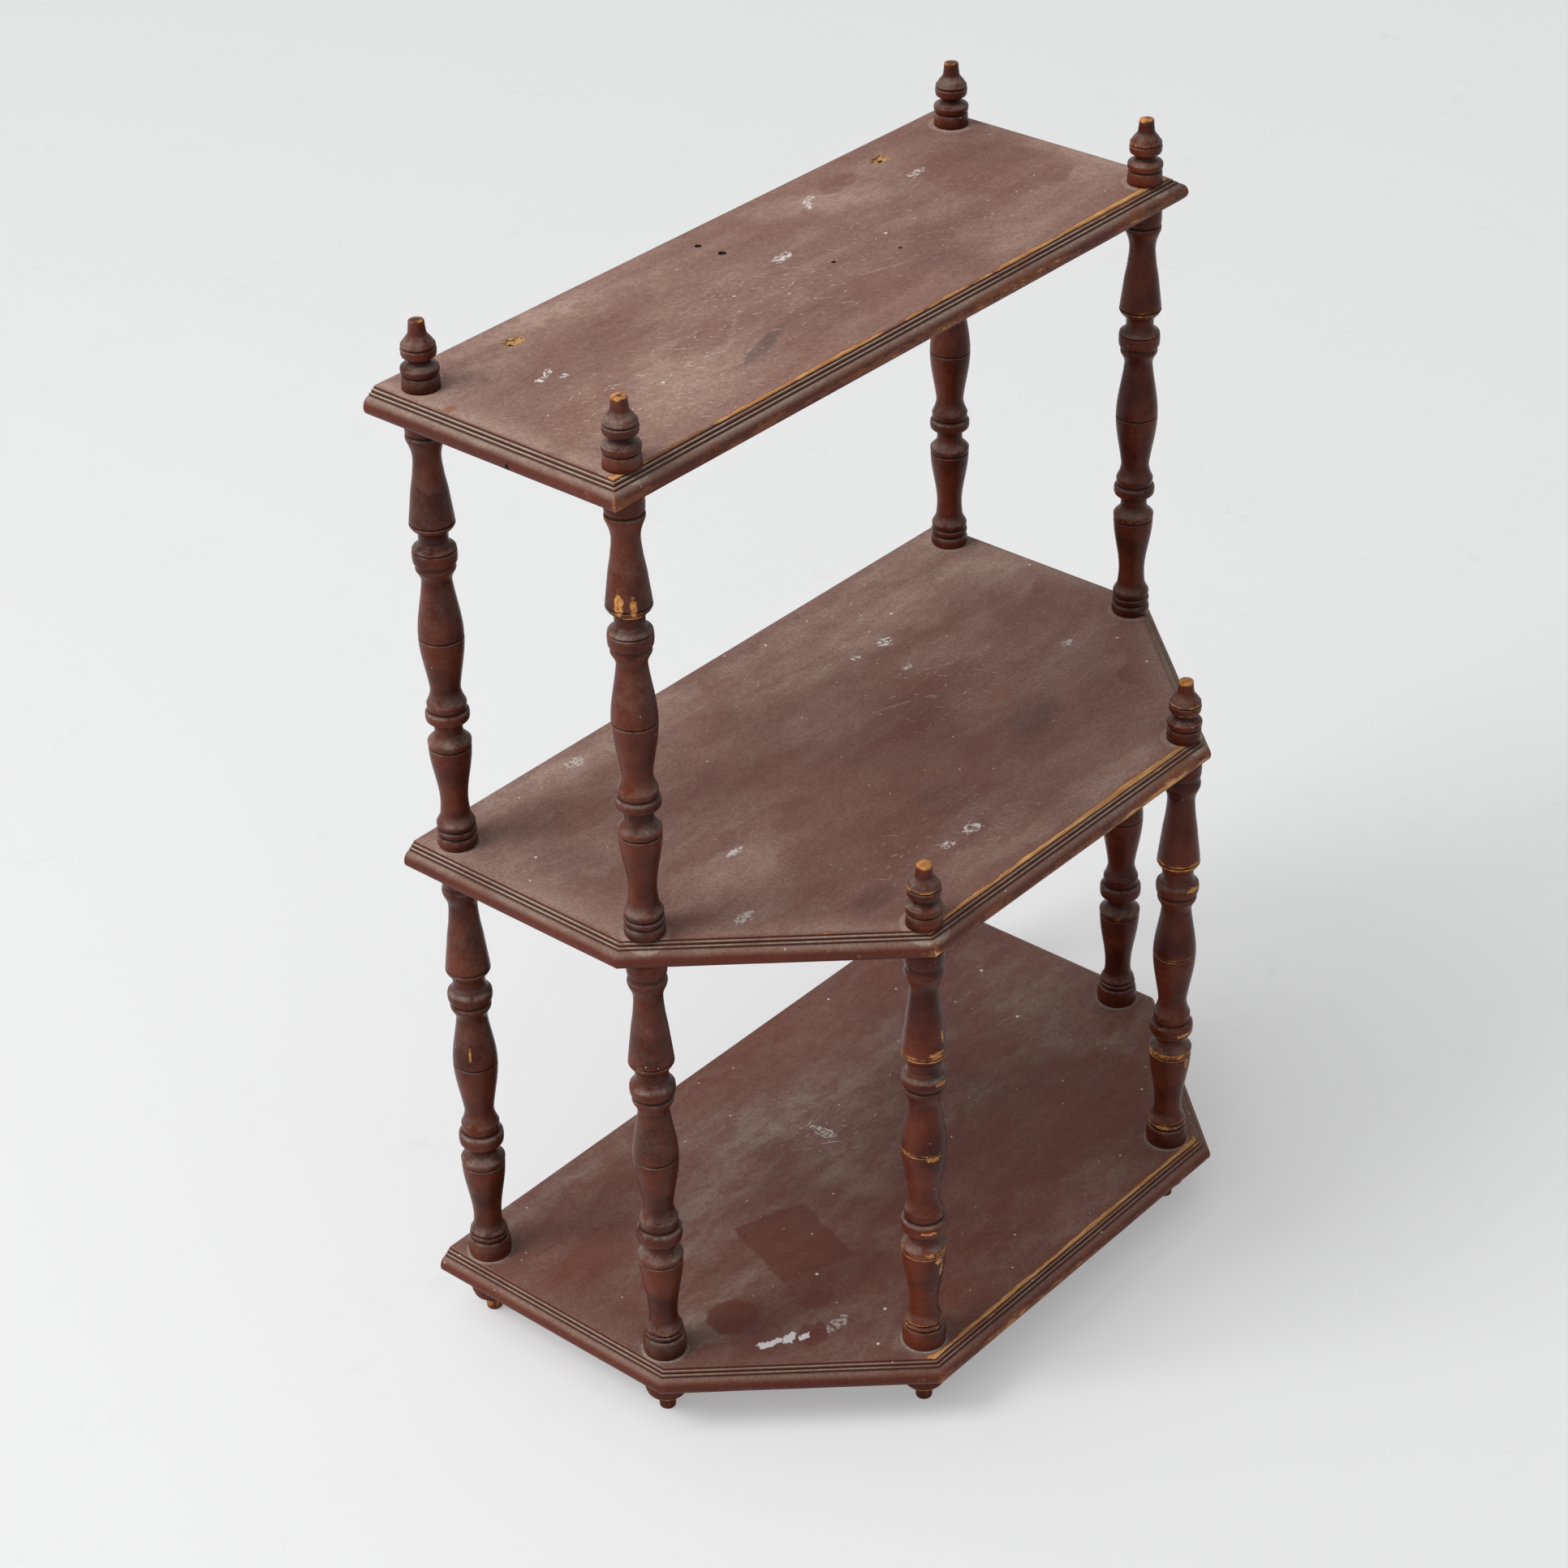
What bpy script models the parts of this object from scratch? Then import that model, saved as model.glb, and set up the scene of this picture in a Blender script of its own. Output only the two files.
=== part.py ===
"""Three-tier turned-post etagere: moulded shelves, turned spindles, finials and bun feet.

Every turned piece has a pin under its shoulder and a socket in its top. The pin passes through a
bore in the shelf below and is glued in the socket of the piece under that shelf.
Metres, +Z up. The origin is the middle of the footprint, at floor level. The back is +Y.
"""
import math

import bmesh
import bpy
from mathutils import Vector
from mathutils.geometry import intersect_line_line_2d

# Tiers, from one shelf's top face to the next
LOWER_TIER = 0.3053
UPPER_TIER = 0.2947

# Post centres: half distances from left to right, and distances forward of the back posts
SIDE_POST_X = 0.2315
FRONT_POST_X = 0.1262
SIDE_POST_SETBACK = 0.1470
FRONT_POST_SETBACK = 0.2631

# Shelf boards: thickness, and how far the moulding's top line lies outside the post centres
BOARD = 0.0152
BACK_MARGIN = 0.0220
SIDE_MARGIN = 0.0143
TOP_FRONT_MARGIN = 0.0070
MIDDLE_FRONT_MARGIN = 0.0062
MIDDLE_CANT_MARGIN = 0.0068
BOTTOM_FRONT_MARGIN = 0.0165
BOTTOM_CANT_MARGIN = 0.0185

# Edge moulding: two small steps, then a quarter-round nose
STEP_DROP = 0.0012
STEP_TREAD = 0.0020
NOSE_REACH = 0.0050
NOSE_DROP = 0.0075
NOSE_ARC_STEPS = 4
UNDER_EASE = 0.0015

# Turned pieces
SIDES = 12
CURVE_STEPS = 3
UPPER_BELLY = 0.0130
LOWER_BELLY = 0.0136
SPINDLE_CAP = 0.0145
FINIAL_HEIGHT = 0.0400
FINIAL_RADIUS = 0.0108
FOOT_HEIGHT = 0.0300
FOOT_RADIUS = 0.0134
STUB_HEIGHT = 0.0125
STUB_RADIUS = 0.0050
BUN_RISE = 0.0048

# Joints
PIN_RADIUS = 0.0050
PIN_GRIP = 0.0120
PIN_CLEARANCE = 0.0003
PIN_END_CLEARANCE = 0.0006
SEAT_GAP = 0.0003

# Heights of the three top faces and the seats above them
BOTTOM_TOP = FOOT_HEIGHT + SEAT_GAP + BOARD
MIDDLE_TOP = BOTTOM_TOP + LOWER_TIER
TOP_TOP = MIDDLE_TOP + UPPER_TIER
LOWER_SPINDLE = LOWER_TIER - BOARD - 2 * SEAT_GAP
UPPER_SPINDLE = UPPER_TIER - BOARD - 2 * SEAT_GAP

# The moulding's whole reach, and the line of the back posts that centres the footprint on Y
MOULDING_REACH = 2 * STEP_TREAD + NOSE_REACH
FOOTPRINT_FRONT = FRONT_POST_SETBACK + BOTTOM_FRONT_MARGIN + MOULDING_REACH
BACK_POST_Y = (FOOTPRINT_FRONT - BACK_MARGIN) / 2

BORE_RADIUS = PIN_RADIUS + PIN_CLEARANCE
BORE_DEPTH = PIN_GRIP + PIN_END_CLEARANCE
PIN_LENGTH = BOARD + 2 * SEAT_GAP + PIN_GRIP

POSTS = {
    "back_left": (-SIDE_POST_X, 0.0),
    "back_right": (SIDE_POST_X, 0.0),
    "side_left": (-SIDE_POST_X, SIDE_POST_SETBACK),
    "side_right": (SIDE_POST_X, SIDE_POST_SETBACK),
    "front_left": (-FRONT_POST_X, FRONT_POST_SETBACK),
    "front_right": (FRONT_POST_X, FRONT_POST_SETBACK),
}
TALL_POSTS = ("back_left", "back_right", "side_left", "side_right")

# Turned profiles run upwards. Each station is a share of the stretch's height, a share of its
# radius, and the curve that leads to it: start and end slope against the chord, or None for straight.
EASE = (0.0, 0.0)
SWELL = (0.8, 0.0)
SINK = (0.0, 0.7)
BELL = (0.6, 0.5)
FLARE_OUT = (0.0, 1.8)
FLARE_IN = (1.8, 0.0)

SHAFT = (
    (0.000, 0.870, None),
    (0.060, 0.630, FLARE_IN),
    (0.223, 0.970, EASE),
    (0.230, 0.760, None),
    (0.251, 0.620, None),
    (0.276, 0.950, None),
    (0.290, 0.985, None),
    (0.304, 0.950, None),
    (0.308, 0.850, None),
    (0.324, 0.885, None),
    (0.363, 0.670, FLARE_IN),
    (0.500, 1.000, SWELL),
    (0.642, 0.670, SINK),
    (0.674, 0.890, FLARE_OUT),
    (0.686, 0.865, None),
    (0.700, 0.975, None),
    (0.722, 0.975, None),
    (0.749, 0.640, None),
    (0.781, 0.985, None),
    (0.795, 0.985, None),
    (0.953, 0.615, BELL),
    (1.000, 0.850, FLARE_OUT),
)
UPPER_BASE_HEIGHT = 0.0156
UPPER_BASE = (
    (0.00, 0.880, None),
    (0.21, 0.925, None),
    (0.42, 0.890, None),
    (0.50, 0.840, None),
    (0.68, 0.890, None),
    (0.80, 0.830, None),
)
LOWER_BASE_HEIGHT = 0.0182
LOWER_BASE = (
    (0.00, 0.950, None),
    (0.24, 0.985, None),
    (0.50, 0.955, None),
    (0.68, 0.870, None),
    (0.74, 0.845, None),
    (0.88, 0.875, None),
)
FINIAL = (
    (0.000, 1.000, None),
    (0.160, 0.920, None),
    (0.175, 0.860, None),
    (0.235, 1.010, None),
    (0.265, 0.965, None),
    (0.345, 0.680, None),
    (0.385, 0.610, None),
    (0.430, 0.700, None),
    (0.500, 0.917, None),
    (0.560, 0.907, None),
    (0.630, 0.780, None),
    (0.800, 0.480, BELL),
    (0.965, 0.400, None),
    (1.000, 0.260, None),
)


def bend(start, end, t):
    """Share of the way along a chord whose two ends have the given slopes."""
    lift = t ** 3 - 2 * t ** 2 + t
    ease = 3 * t ** 2 - 2 * t ** 3
    settle = t ** 3 - t ** 2
    return lift * start + ease + settle * end


def profile(stations, height, radius, floor=0.0):
    """Points (radius, height) through the stations, with curves split into short chords."""
    points = []
    for share, reach, curve in stations:
        here = (reach * radius, floor + share * height)
        if curve and points:
            was = points[-1]
            for step in range(1, CURVE_STEPS):
                t = step / CURVE_STEPS
                out = was[0] + (here[0] - was[0]) * bend(*curve, t)
                points.append((out, was[1] + (here[1] - was[1]) * t))
        points.append(here)
    return points


def pin():
    """Pin under a shoulder, from its tip up to the shoulder's plane."""
    tip_ease = PIN_RADIUS / 5
    return [
        (0.0, -PIN_LENGTH),
        (PIN_RADIUS - tip_ease, -PIN_LENGTH),
        (PIN_RADIUS, tip_ease - PIN_LENGTH),
        (PIN_RADIUS, 0.0),
    ]


def socket(top):
    """Blind bore sunk from the top face."""
    return [(BORE_RADIUS, top), (BORE_RADIUS, top - BORE_DEPTH), (0.0, top - BORE_DEPTH)]


def spindle_points(length, belly, base, base_height):
    """A spindle: pin, base rings, waisted shaft, plain cap with a socket."""
    shaft_height = length - base_height - SPINDLE_CAP
    points = pin()
    points += profile(base, base_height, belly)
    points += profile(SHAFT, shaft_height, belly, base_height)
    points.append((points[-1][0], length))
    return points + socket(length)


def finial_points():
    """A finial on its pin."""
    return pin() + profile(FINIAL, FINIAL_HEIGHT, FINIAL_RADIUS) + [(0.0, FINIAL_HEIGHT)]


def foot_points():
    """A bun foot with a stub below and a socket in its top."""
    stub_ease = STUB_RADIUS / 6
    points = [
        (0.0, 0.0),
        (STUB_RADIUS - stub_ease, 0.0),
        (STUB_RADIUS, stub_ease),
        (STUB_RADIUS, STUB_HEIGHT),
    ]
    inner = (STUB_RADIUS + FOOT_RADIUS) / 2
    for step in range(CURVE_STEPS + 1):
        turn = math.pi / 2 * step / CURVE_STEPS
        out = inner + (FOOT_RADIUS - inner) * math.sin(turn)
        points.append((out, STUB_HEIGHT + BUN_RISE * (1 - math.cos(turn))))
    points.append((FOOT_RADIUS, FOOT_HEIGHT))
    return points + socket(FOOT_HEIGHT)


def wood(name, colour, roughness):
    """Stained and painted wood of one kind of piece."""
    material = bpy.data.materials.new(name)
    material.use_nodes = True
    shader = material.node_tree.nodes["Principled BSDF"]
    shader.inputs["Base Color"].default_value = (*colour, 1.0)
    shader.inputs["Roughness"].default_value = roughness
    shader.inputs["Metallic"].default_value = 0.0
    return material


def turned_mesh(name, points, material):
    """One closed body, spun about Z from a profile of (radius, height) points."""
    form = bmesh.new()
    rim = [form.verts.new((out, 0.0, height)) for out, height in points]
    edges = [form.edges.new(pair) for pair in zip(rim, rim[1:])]
    bmesh.ops.spin(
        form, geom=rim + edges, cent=(0, 0, 0), axis=(0, 0, 1), angle=math.tau, steps=SIDES, use_merge=True
    )
    bmesh.ops.remove_doubles(form, verts=form.verts, dist=0.00001)
    bmesh.ops.recalc_face_normals(form, faces=form.faces)
    mesh = bpy.data.meshes.new(name)
    form.to_mesh(mesh)
    form.free()
    mesh.materials.append(material)
    mesh.shade_smooth()
    mesh.set_sharp_from_angle(angle=math.radians(35))
    return mesh


def moulding():
    """Steps (reach, drop) of the edge from the top face's rim to the underside."""
    steps = [(0.0, 0.0), (0.0, STEP_DROP)]
    for count in (1, 2):
        steps.append((count * STEP_TREAD, count * STEP_DROP))
        steps.append((count * STEP_TREAD, (count + 1) * STEP_DROP))
    shoulder = steps[-1]
    for step in range(1, NOSE_ARC_STEPS + 1):
        turn = math.pi / 2 * step / NOSE_ARC_STEPS
        reach = shoulder[0] + NOSE_REACH * math.sin(turn)
        steps.append((reach, shoulder[1] + NOSE_DROP * (1 - math.cos(turn))))
    steps.append((MOULDING_REACH, BOARD - UNDER_EASE))
    steps.append((MOULDING_REACH - UNDER_EASE, BOARD))
    return steps


def shifted(start, end, reach):
    """A line moved out by reach, for an outline that runs anticlockwise."""
    along = (end - start).normalized()
    outward = Vector((along.y, -along.x)) * reach
    return start + outward, end + outward


def crossing(first, second):
    """Point where two lines of an outline meet."""
    far = 10.0
    a, b = first
    c, d = second
    reach_first = (b - a).normalized() * far
    reach_second = (d - c).normalized() * far
    return intersect_line_line_2d(a - reach_first, b + reach_first, c - reach_second, d + reach_second)


def outline(lines):
    """Corners of a closed outline, each where a line meets the one before it."""
    return [crossing(lines[i - 1], line) for i, line in enumerate(lines)]


def post(name):
    """Centre of a post on the plan."""
    across, setback = POSTS[name]
    return Vector((across, BACK_POST_Y - setback))


def top_lines(reach):
    """Left, front, right and back edges of the top shelf, moved out from its rim by reach."""
    bl, br = post("back_left"), post("back_right")
    sl, sr = post("side_left"), post("side_right")
    return [
        shifted(bl, sl, SIDE_MARGIN + reach),
        shifted(sl, sr, TOP_FRONT_MARGIN + reach),
        shifted(sr, br, SIDE_MARGIN + reach),
        shifted(br, bl, BACK_MARGIN),
    ]


def canted_lines(front, cant):
    """Edges of a shelf with canted front corners, as a function of the reach past its rim."""
    bl, br = post("back_left"), post("back_right")
    sl, sr = post("side_left"), post("side_right")
    fl, fr = post("front_left"), post("front_right")

    def lines(reach):
        return [
            shifted(bl, sl, SIDE_MARGIN + reach),
            shifted(sl, fl, cant + reach),
            shifted(fl, fr, front + reach),
            shifted(fr, sr, cant + reach),
            shifted(sr, br, SIDE_MARGIN + reach),
            shifted(br, bl, BACK_MARGIN),
        ]

    return lines


def place(name, data, location, parent):
    """Put a mesh into the scene under the frame's empty."""
    piece = bpy.data.objects.new(name, data)
    piece.location = location
    piece.parent = parent
    bpy.context.scene.collection.objects.link(piece)
    return piece


def shelf(name, lines, top, material, cutter, parent):
    """A board moulded on every edge but the back, with its post bores cut through."""
    form = bmesh.new()
    rings = []
    for reach, drop in moulding():
        corners = outline(lines(reach))
        rings.append([form.verts.new((x, y, -drop)) for x, y in corners])
    form.faces.new(rings[0])
    form.faces.new(list(reversed(rings[-1])))
    count = len(rings[0])
    for upper, lower in zip(rings, rings[1:]):
        for i in range(count):
            j = (i + 1) % count
            form.faces.new((upper[j], upper[i], lower[i], lower[j]))
    bmesh.ops.remove_doubles(form, verts=form.verts, dist=0.00001)
    bmesh.ops.recalc_face_normals(form, faces=form.faces)
    mesh = bpy.data.meshes.new(name)
    form.to_mesh(mesh)
    form.free()
    mesh.materials.append(material)
    board = place(name, mesh, (0, 0, top), parent)
    bores = board.modifiers.new("post bores", "BOOLEAN")
    bores.operation = "DIFFERENCE"
    bores.solver = "EXACT"
    bores.object = cutter
    return board


def bore_cutter(parent):
    """One hidden cutter: a rod on each post line, long enough for every shelf that it meets."""
    form = bmesh.new()
    reach = TOP_TOP + BOARD
    for name in POSTS:
        rod = bmesh.ops.create_cone(
            form, cap_ends=True, segments=SIDES, radius1=BORE_RADIUS, radius2=BORE_RADIUS, depth=reach
        )
        centre = post(name)
        bmesh.ops.translate(form, verts=rod["verts"], vec=(centre.x, centre.y, reach / 2))
    mesh = bpy.data.meshes.new("post_bores")
    form.to_mesh(mesh)
    form.free()
    cutter = place("post_bores", mesh, (0, 0, 0), parent)
    cutter.hide_render = True
    cutter.display_type = "WIRE"
    return cutter


def clear_scene():
    """Start from an empty scene."""
    for thing in list(bpy.data.objects):
        bpy.data.objects.remove(thing, do_unlink=True)


def shelves(frame):
    """The three boards, on one cutter for all their bores."""
    finish = wood("shelf_wood", (0.150, 0.066, 0.052), 0.50)
    cutter = bore_cutter(frame)
    middle = canted_lines(MIDDLE_FRONT_MARGIN, MIDDLE_CANT_MARGIN)
    bottom = canted_lines(BOTTOM_FRONT_MARGIN, BOTTOM_CANT_MARGIN)
    shelf("shelf_bottom", bottom, BOTTOM_TOP, finish, cutter, frame)
    shelf("shelf_middle", middle, MIDDLE_TOP, finish, cutter, frame)
    shelf("shelf_top", top_lines, TOP_TOP, finish, cutter, frame)


def turned_pieces(frame):
    """Feet, spindles and finials on every post line."""
    finish = wood("turned_wood", (0.120, 0.046, 0.034), 0.42)
    bare = wood("foot_wood", (0.130, 0.055, 0.040), 0.60)
    foot = turned_mesh("foot", foot_points(), bare)
    lower = turned_mesh(
        "spindle_lower", spindle_points(LOWER_SPINDLE, LOWER_BELLY, LOWER_BASE, LOWER_BASE_HEIGHT), finish
    )
    upper = turned_mesh(
        "spindle_upper", spindle_points(UPPER_SPINDLE, UPPER_BELLY, UPPER_BASE, UPPER_BASE_HEIGHT), finish
    )
    finial = turned_mesh("finial", finial_points(), finish)
    for name in POSTS:
        x, y = post(name)
        place("foot_" + name, foot, (x, y, 0.0), frame)
        place("spindle_lower_" + name, lower, (x, y, BOTTOM_TOP + SEAT_GAP), frame)
        finial_seat = MIDDLE_TOP
        if name in TALL_POSTS:
            place("spindle_upper_" + name, upper, (x, y, MIDDLE_TOP + SEAT_GAP), frame)
            finial_seat = TOP_TOP
        place("finial_" + name, finial, (x, y, finial_seat + SEAT_GAP), frame)


def main():
    clear_scene()
    frame = bpy.data.objects.new("etagere", None)
    bpy.context.scene.collection.objects.link(frame)
    shelves(frame)
    turned_pieces(frame)


main()
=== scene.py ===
import math

import bmesh
import bpy
import numpy as np
from mathutils import Matrix, Vector, noise


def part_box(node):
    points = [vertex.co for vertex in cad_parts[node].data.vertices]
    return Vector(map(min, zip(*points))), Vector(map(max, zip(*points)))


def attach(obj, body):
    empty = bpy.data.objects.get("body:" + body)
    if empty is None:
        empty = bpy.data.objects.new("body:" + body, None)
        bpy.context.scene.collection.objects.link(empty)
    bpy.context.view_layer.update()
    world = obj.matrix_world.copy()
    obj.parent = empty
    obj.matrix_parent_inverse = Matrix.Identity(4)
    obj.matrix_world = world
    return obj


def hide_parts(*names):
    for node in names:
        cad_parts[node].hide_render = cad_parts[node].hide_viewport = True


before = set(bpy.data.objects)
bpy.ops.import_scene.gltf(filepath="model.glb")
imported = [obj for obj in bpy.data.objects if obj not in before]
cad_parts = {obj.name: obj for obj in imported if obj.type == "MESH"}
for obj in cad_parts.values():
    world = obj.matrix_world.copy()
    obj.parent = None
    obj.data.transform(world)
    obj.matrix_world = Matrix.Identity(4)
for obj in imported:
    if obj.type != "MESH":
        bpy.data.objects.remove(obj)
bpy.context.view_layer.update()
print("stage: frame loaded")

mm = 0.001
postNames = ("back_left", "back_right", "side_left", "side_right", "front_left", "front_right")
tallPosts = postNames[:4]
tiers = ("bottom", "middle", "top")


def nodeMiddle(name):
    low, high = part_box(name)
    return Vector(((low[0] + high[0]) / 2, (low[1] + high[1]) / 2))


posts = {name: nodeMiddle("foot_" + name) for name in postNames}
shelfTop = {tier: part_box("shelf_" + tier)[1][2] for tier in tiers}
board = shelfTop["bottom"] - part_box("shelf_bottom")[0][2]
backLine = posts["back_left"].y


# The photograph's camera
view = {
    "stand": (-1.46994, -1.33080, 1.49076),  # from the back post line and the bottom shelf's top
    "azimuth": -0.8546,
    "elevation": 0.5667,
    "roll": -0.0238,
    "lens": 85.16,
    "sensor": 36.0,
}


# Node helpers
def addNode(tree, kind, inputs=None, **settings):
    node = tree.nodes.new(kind)
    for key, value in settings.items():
        setattr(node, key, value)
    for key, value in (inputs or {}).items():
        if isinstance(value, bpy.types.NodeSocket):
            tree.links.new(value, node.inputs[key])
        else:
            node.inputs[key].default_value = value
    return node


def treeOf(*values):  # the node tree that the values come from
    return next(value.id_data for value in values if isinstance(value, bpy.types.NodeSocket))


def calc(operation, a, b=0.0, c=0.0, clamp=False):
    settings = {"operation": operation, "use_clamp": clamp}
    return addNode(treeOf(a, b, c), "ShaderNodeMath", {0: a, 1: b, 2: c}, **settings).outputs[0]


def vectorCalc(operation, a, b=(0.0, 0.0, 0.0)):
    node = addNode(treeOf(a, b), "ShaderNodeVectorMath", {0: a, 1: b}, operation=operation)
    return node.outputs["Value" if operation in ("LENGTH", "DISTANCE", "DOT_PRODUCT") else "Vector"]


def stretch(value, low, high):  # soft step from low to high
    inputs = {"Value": value, "From Min": low, "From Max": high}
    node = addNode(treeOf(value), "ShaderNodeMapRange", inputs, interpolation_type="SMOOTHSTEP")
    return node.outputs["Result"]


def grainNoise(place, scale, detail=4.0, rough=0.55, turn=0.0):  # one scale, or one for each axis
    scales = scale if isinstance(scale, tuple) else (scale, scale, scale)
    inputs = {"Vector": place, "Rotation": (0.0, 0.0, turn), "Scale": scales}
    mapped = addNode(treeOf(place), "ShaderNodeMapping", inputs).outputs[0]
    inputs = {"Vector": mapped, "Scale": 1.0, "Detail": detail, "Roughness": rough}
    return addNode(treeOf(place), "ShaderNodeTexNoise", inputs).outputs["Fac"]


def tint(amount, below, above, blend="MIX"):
    inputs = {0: amount, 6: below, 7: above}
    settings = {"data_type": "RGBA", "blend_type": blend}
    return addNode(treeOf(amount, below, above), "ShaderNodeMix", inputs, **settings).outputs[2]


def attributeOf(tree, name):
    return addNode(tree, "ShaderNodeAttribute", attribute_name=name).outputs["Fac"]


def fold(operation, values):
    total = values[0]
    for value in values[1:]:
        total = calc(operation, total, value)
    return total


def highest(*values):
    return fold("MAXIMUM", values)


def times(*values):
    return fold("MULTIPLY", values)


def scaled(value, gain, base, clamp=False):
    return calc("MULTIPLY_ADD", value, gain, base, clamp)


def rest(value):  # what is left up to one
    return calc("SUBTRACT", 1.0, value)


def axes(value):
    return addNode(treeOf(value), "ShaderNodeSeparateXYZ", {0: value}).outputs


def blankMaterial(name):
    material = bpy.data.materials.new(name)
    material.use_nodes = True
    material.node_tree.nodes.clear()
    return material, material.node_tree


def putInScene(name, data):
    made = bpy.data.objects.new(name, data)
    bpy.context.collection.objects.link(made)
    return made


# Painted wood: old red-brown paint, dust, scratches and bare wood, with painted shade on faces that do not
# face up and in hollows
boardPaint = {
    "paint": (0.150, 0.042, 0.0275, 1),
    "shade": (0.110, 0.028, 0.018, 1),
    # painted shade: faces that do not face up are multiplied by this
    "uprightPaintedShade": (0.72, 0.54, 0.40, 1),
    "oldDust": (0.400, 0.325, 0.256, 1),
    "bare": (0.720, 0.405, 0.155, 1),
    "bareDark": (0.440, 0.200, 0.072, 1),
    "thinned": (0.235, 0.076, 0.028, 1),
    "rubbed": 0.70,
    # near-black for hollows: dirt and painted shade
    "hollowDirtAndShade": (0.011, 0.007, 0.005, 1),
    "grain": (9.0, 240.0, 240.0),
    "grainShare": 0.30,
    "grainBump": 0.18,
    "grainGloss": 0.16,
    "toneScale": 7.0,
    "gloss": 0.50,
    "shine": 0.21,
    "wearPatch": (16.0, 70.0, 70.0),
    "wearRag": (80.0, 330.0, 330.0),
    "scratch": (0.680, 0.590, 0.540, 1),
    "fleck": (0.740, 0.700, 0.660, 1),
    "chipped": (0.640, 0.610, 0.590, 1),
    "stain": (0.300, 0.105, 0.055, 1),
    # dark grey for smudges, and painted shade along the middle shelf's left side
    "smudgeAndShade": (0.040, 0.034, 0.038, 1),
}
turnedPaint = {
    "paint": (0.112, 0.0235, 0.0110, 1),
    "shade": (0.046, 0.0092, 0.0048, 1),
    # painted shade: faces that do not face up are multiplied by this, only slightly
    "uprightPaintedShade": (1.0, 0.98, 0.96, 1),
    "dust": (0.270, 0.215, 0.180, 1),
    "bare": (0.620, 0.285, 0.080, 1),
    "bareDark": (0.300, 0.110, 0.034, 1),
    "thinned": (0.200, 0.060, 0.020, 1),
    "rubbed": 0.60,
    # near-black for hollows: dirt and painted shade
    "hollowDirtAndShade": (0.008, 0.005, 0.004, 1),
    "grain": (60.0, 60.0, 900.0),
    "grainShare": 0.15,
    "grainBump": 0.03,
    "grainGloss": 0.04,
    "toneScale": 34.0,
    "gloss": 0.27,
    "shine": 0.13,
    "wearPatch": 110.0,
    "wearRag": 480.0,
    "fleck": (0.600, 0.540, 0.480, 1),
}
footPaint = dict(turnedPaint, gloss=0.55)
bareBar = {  # how high the wear must be before bare wood shows
    "patches": 0.60,
    "rags": 0.40,
    "gain": 0.32,
    "level": 0.80,
    "soft": 0.035,
    "thin": (-0.085, -0.045),
}


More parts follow.
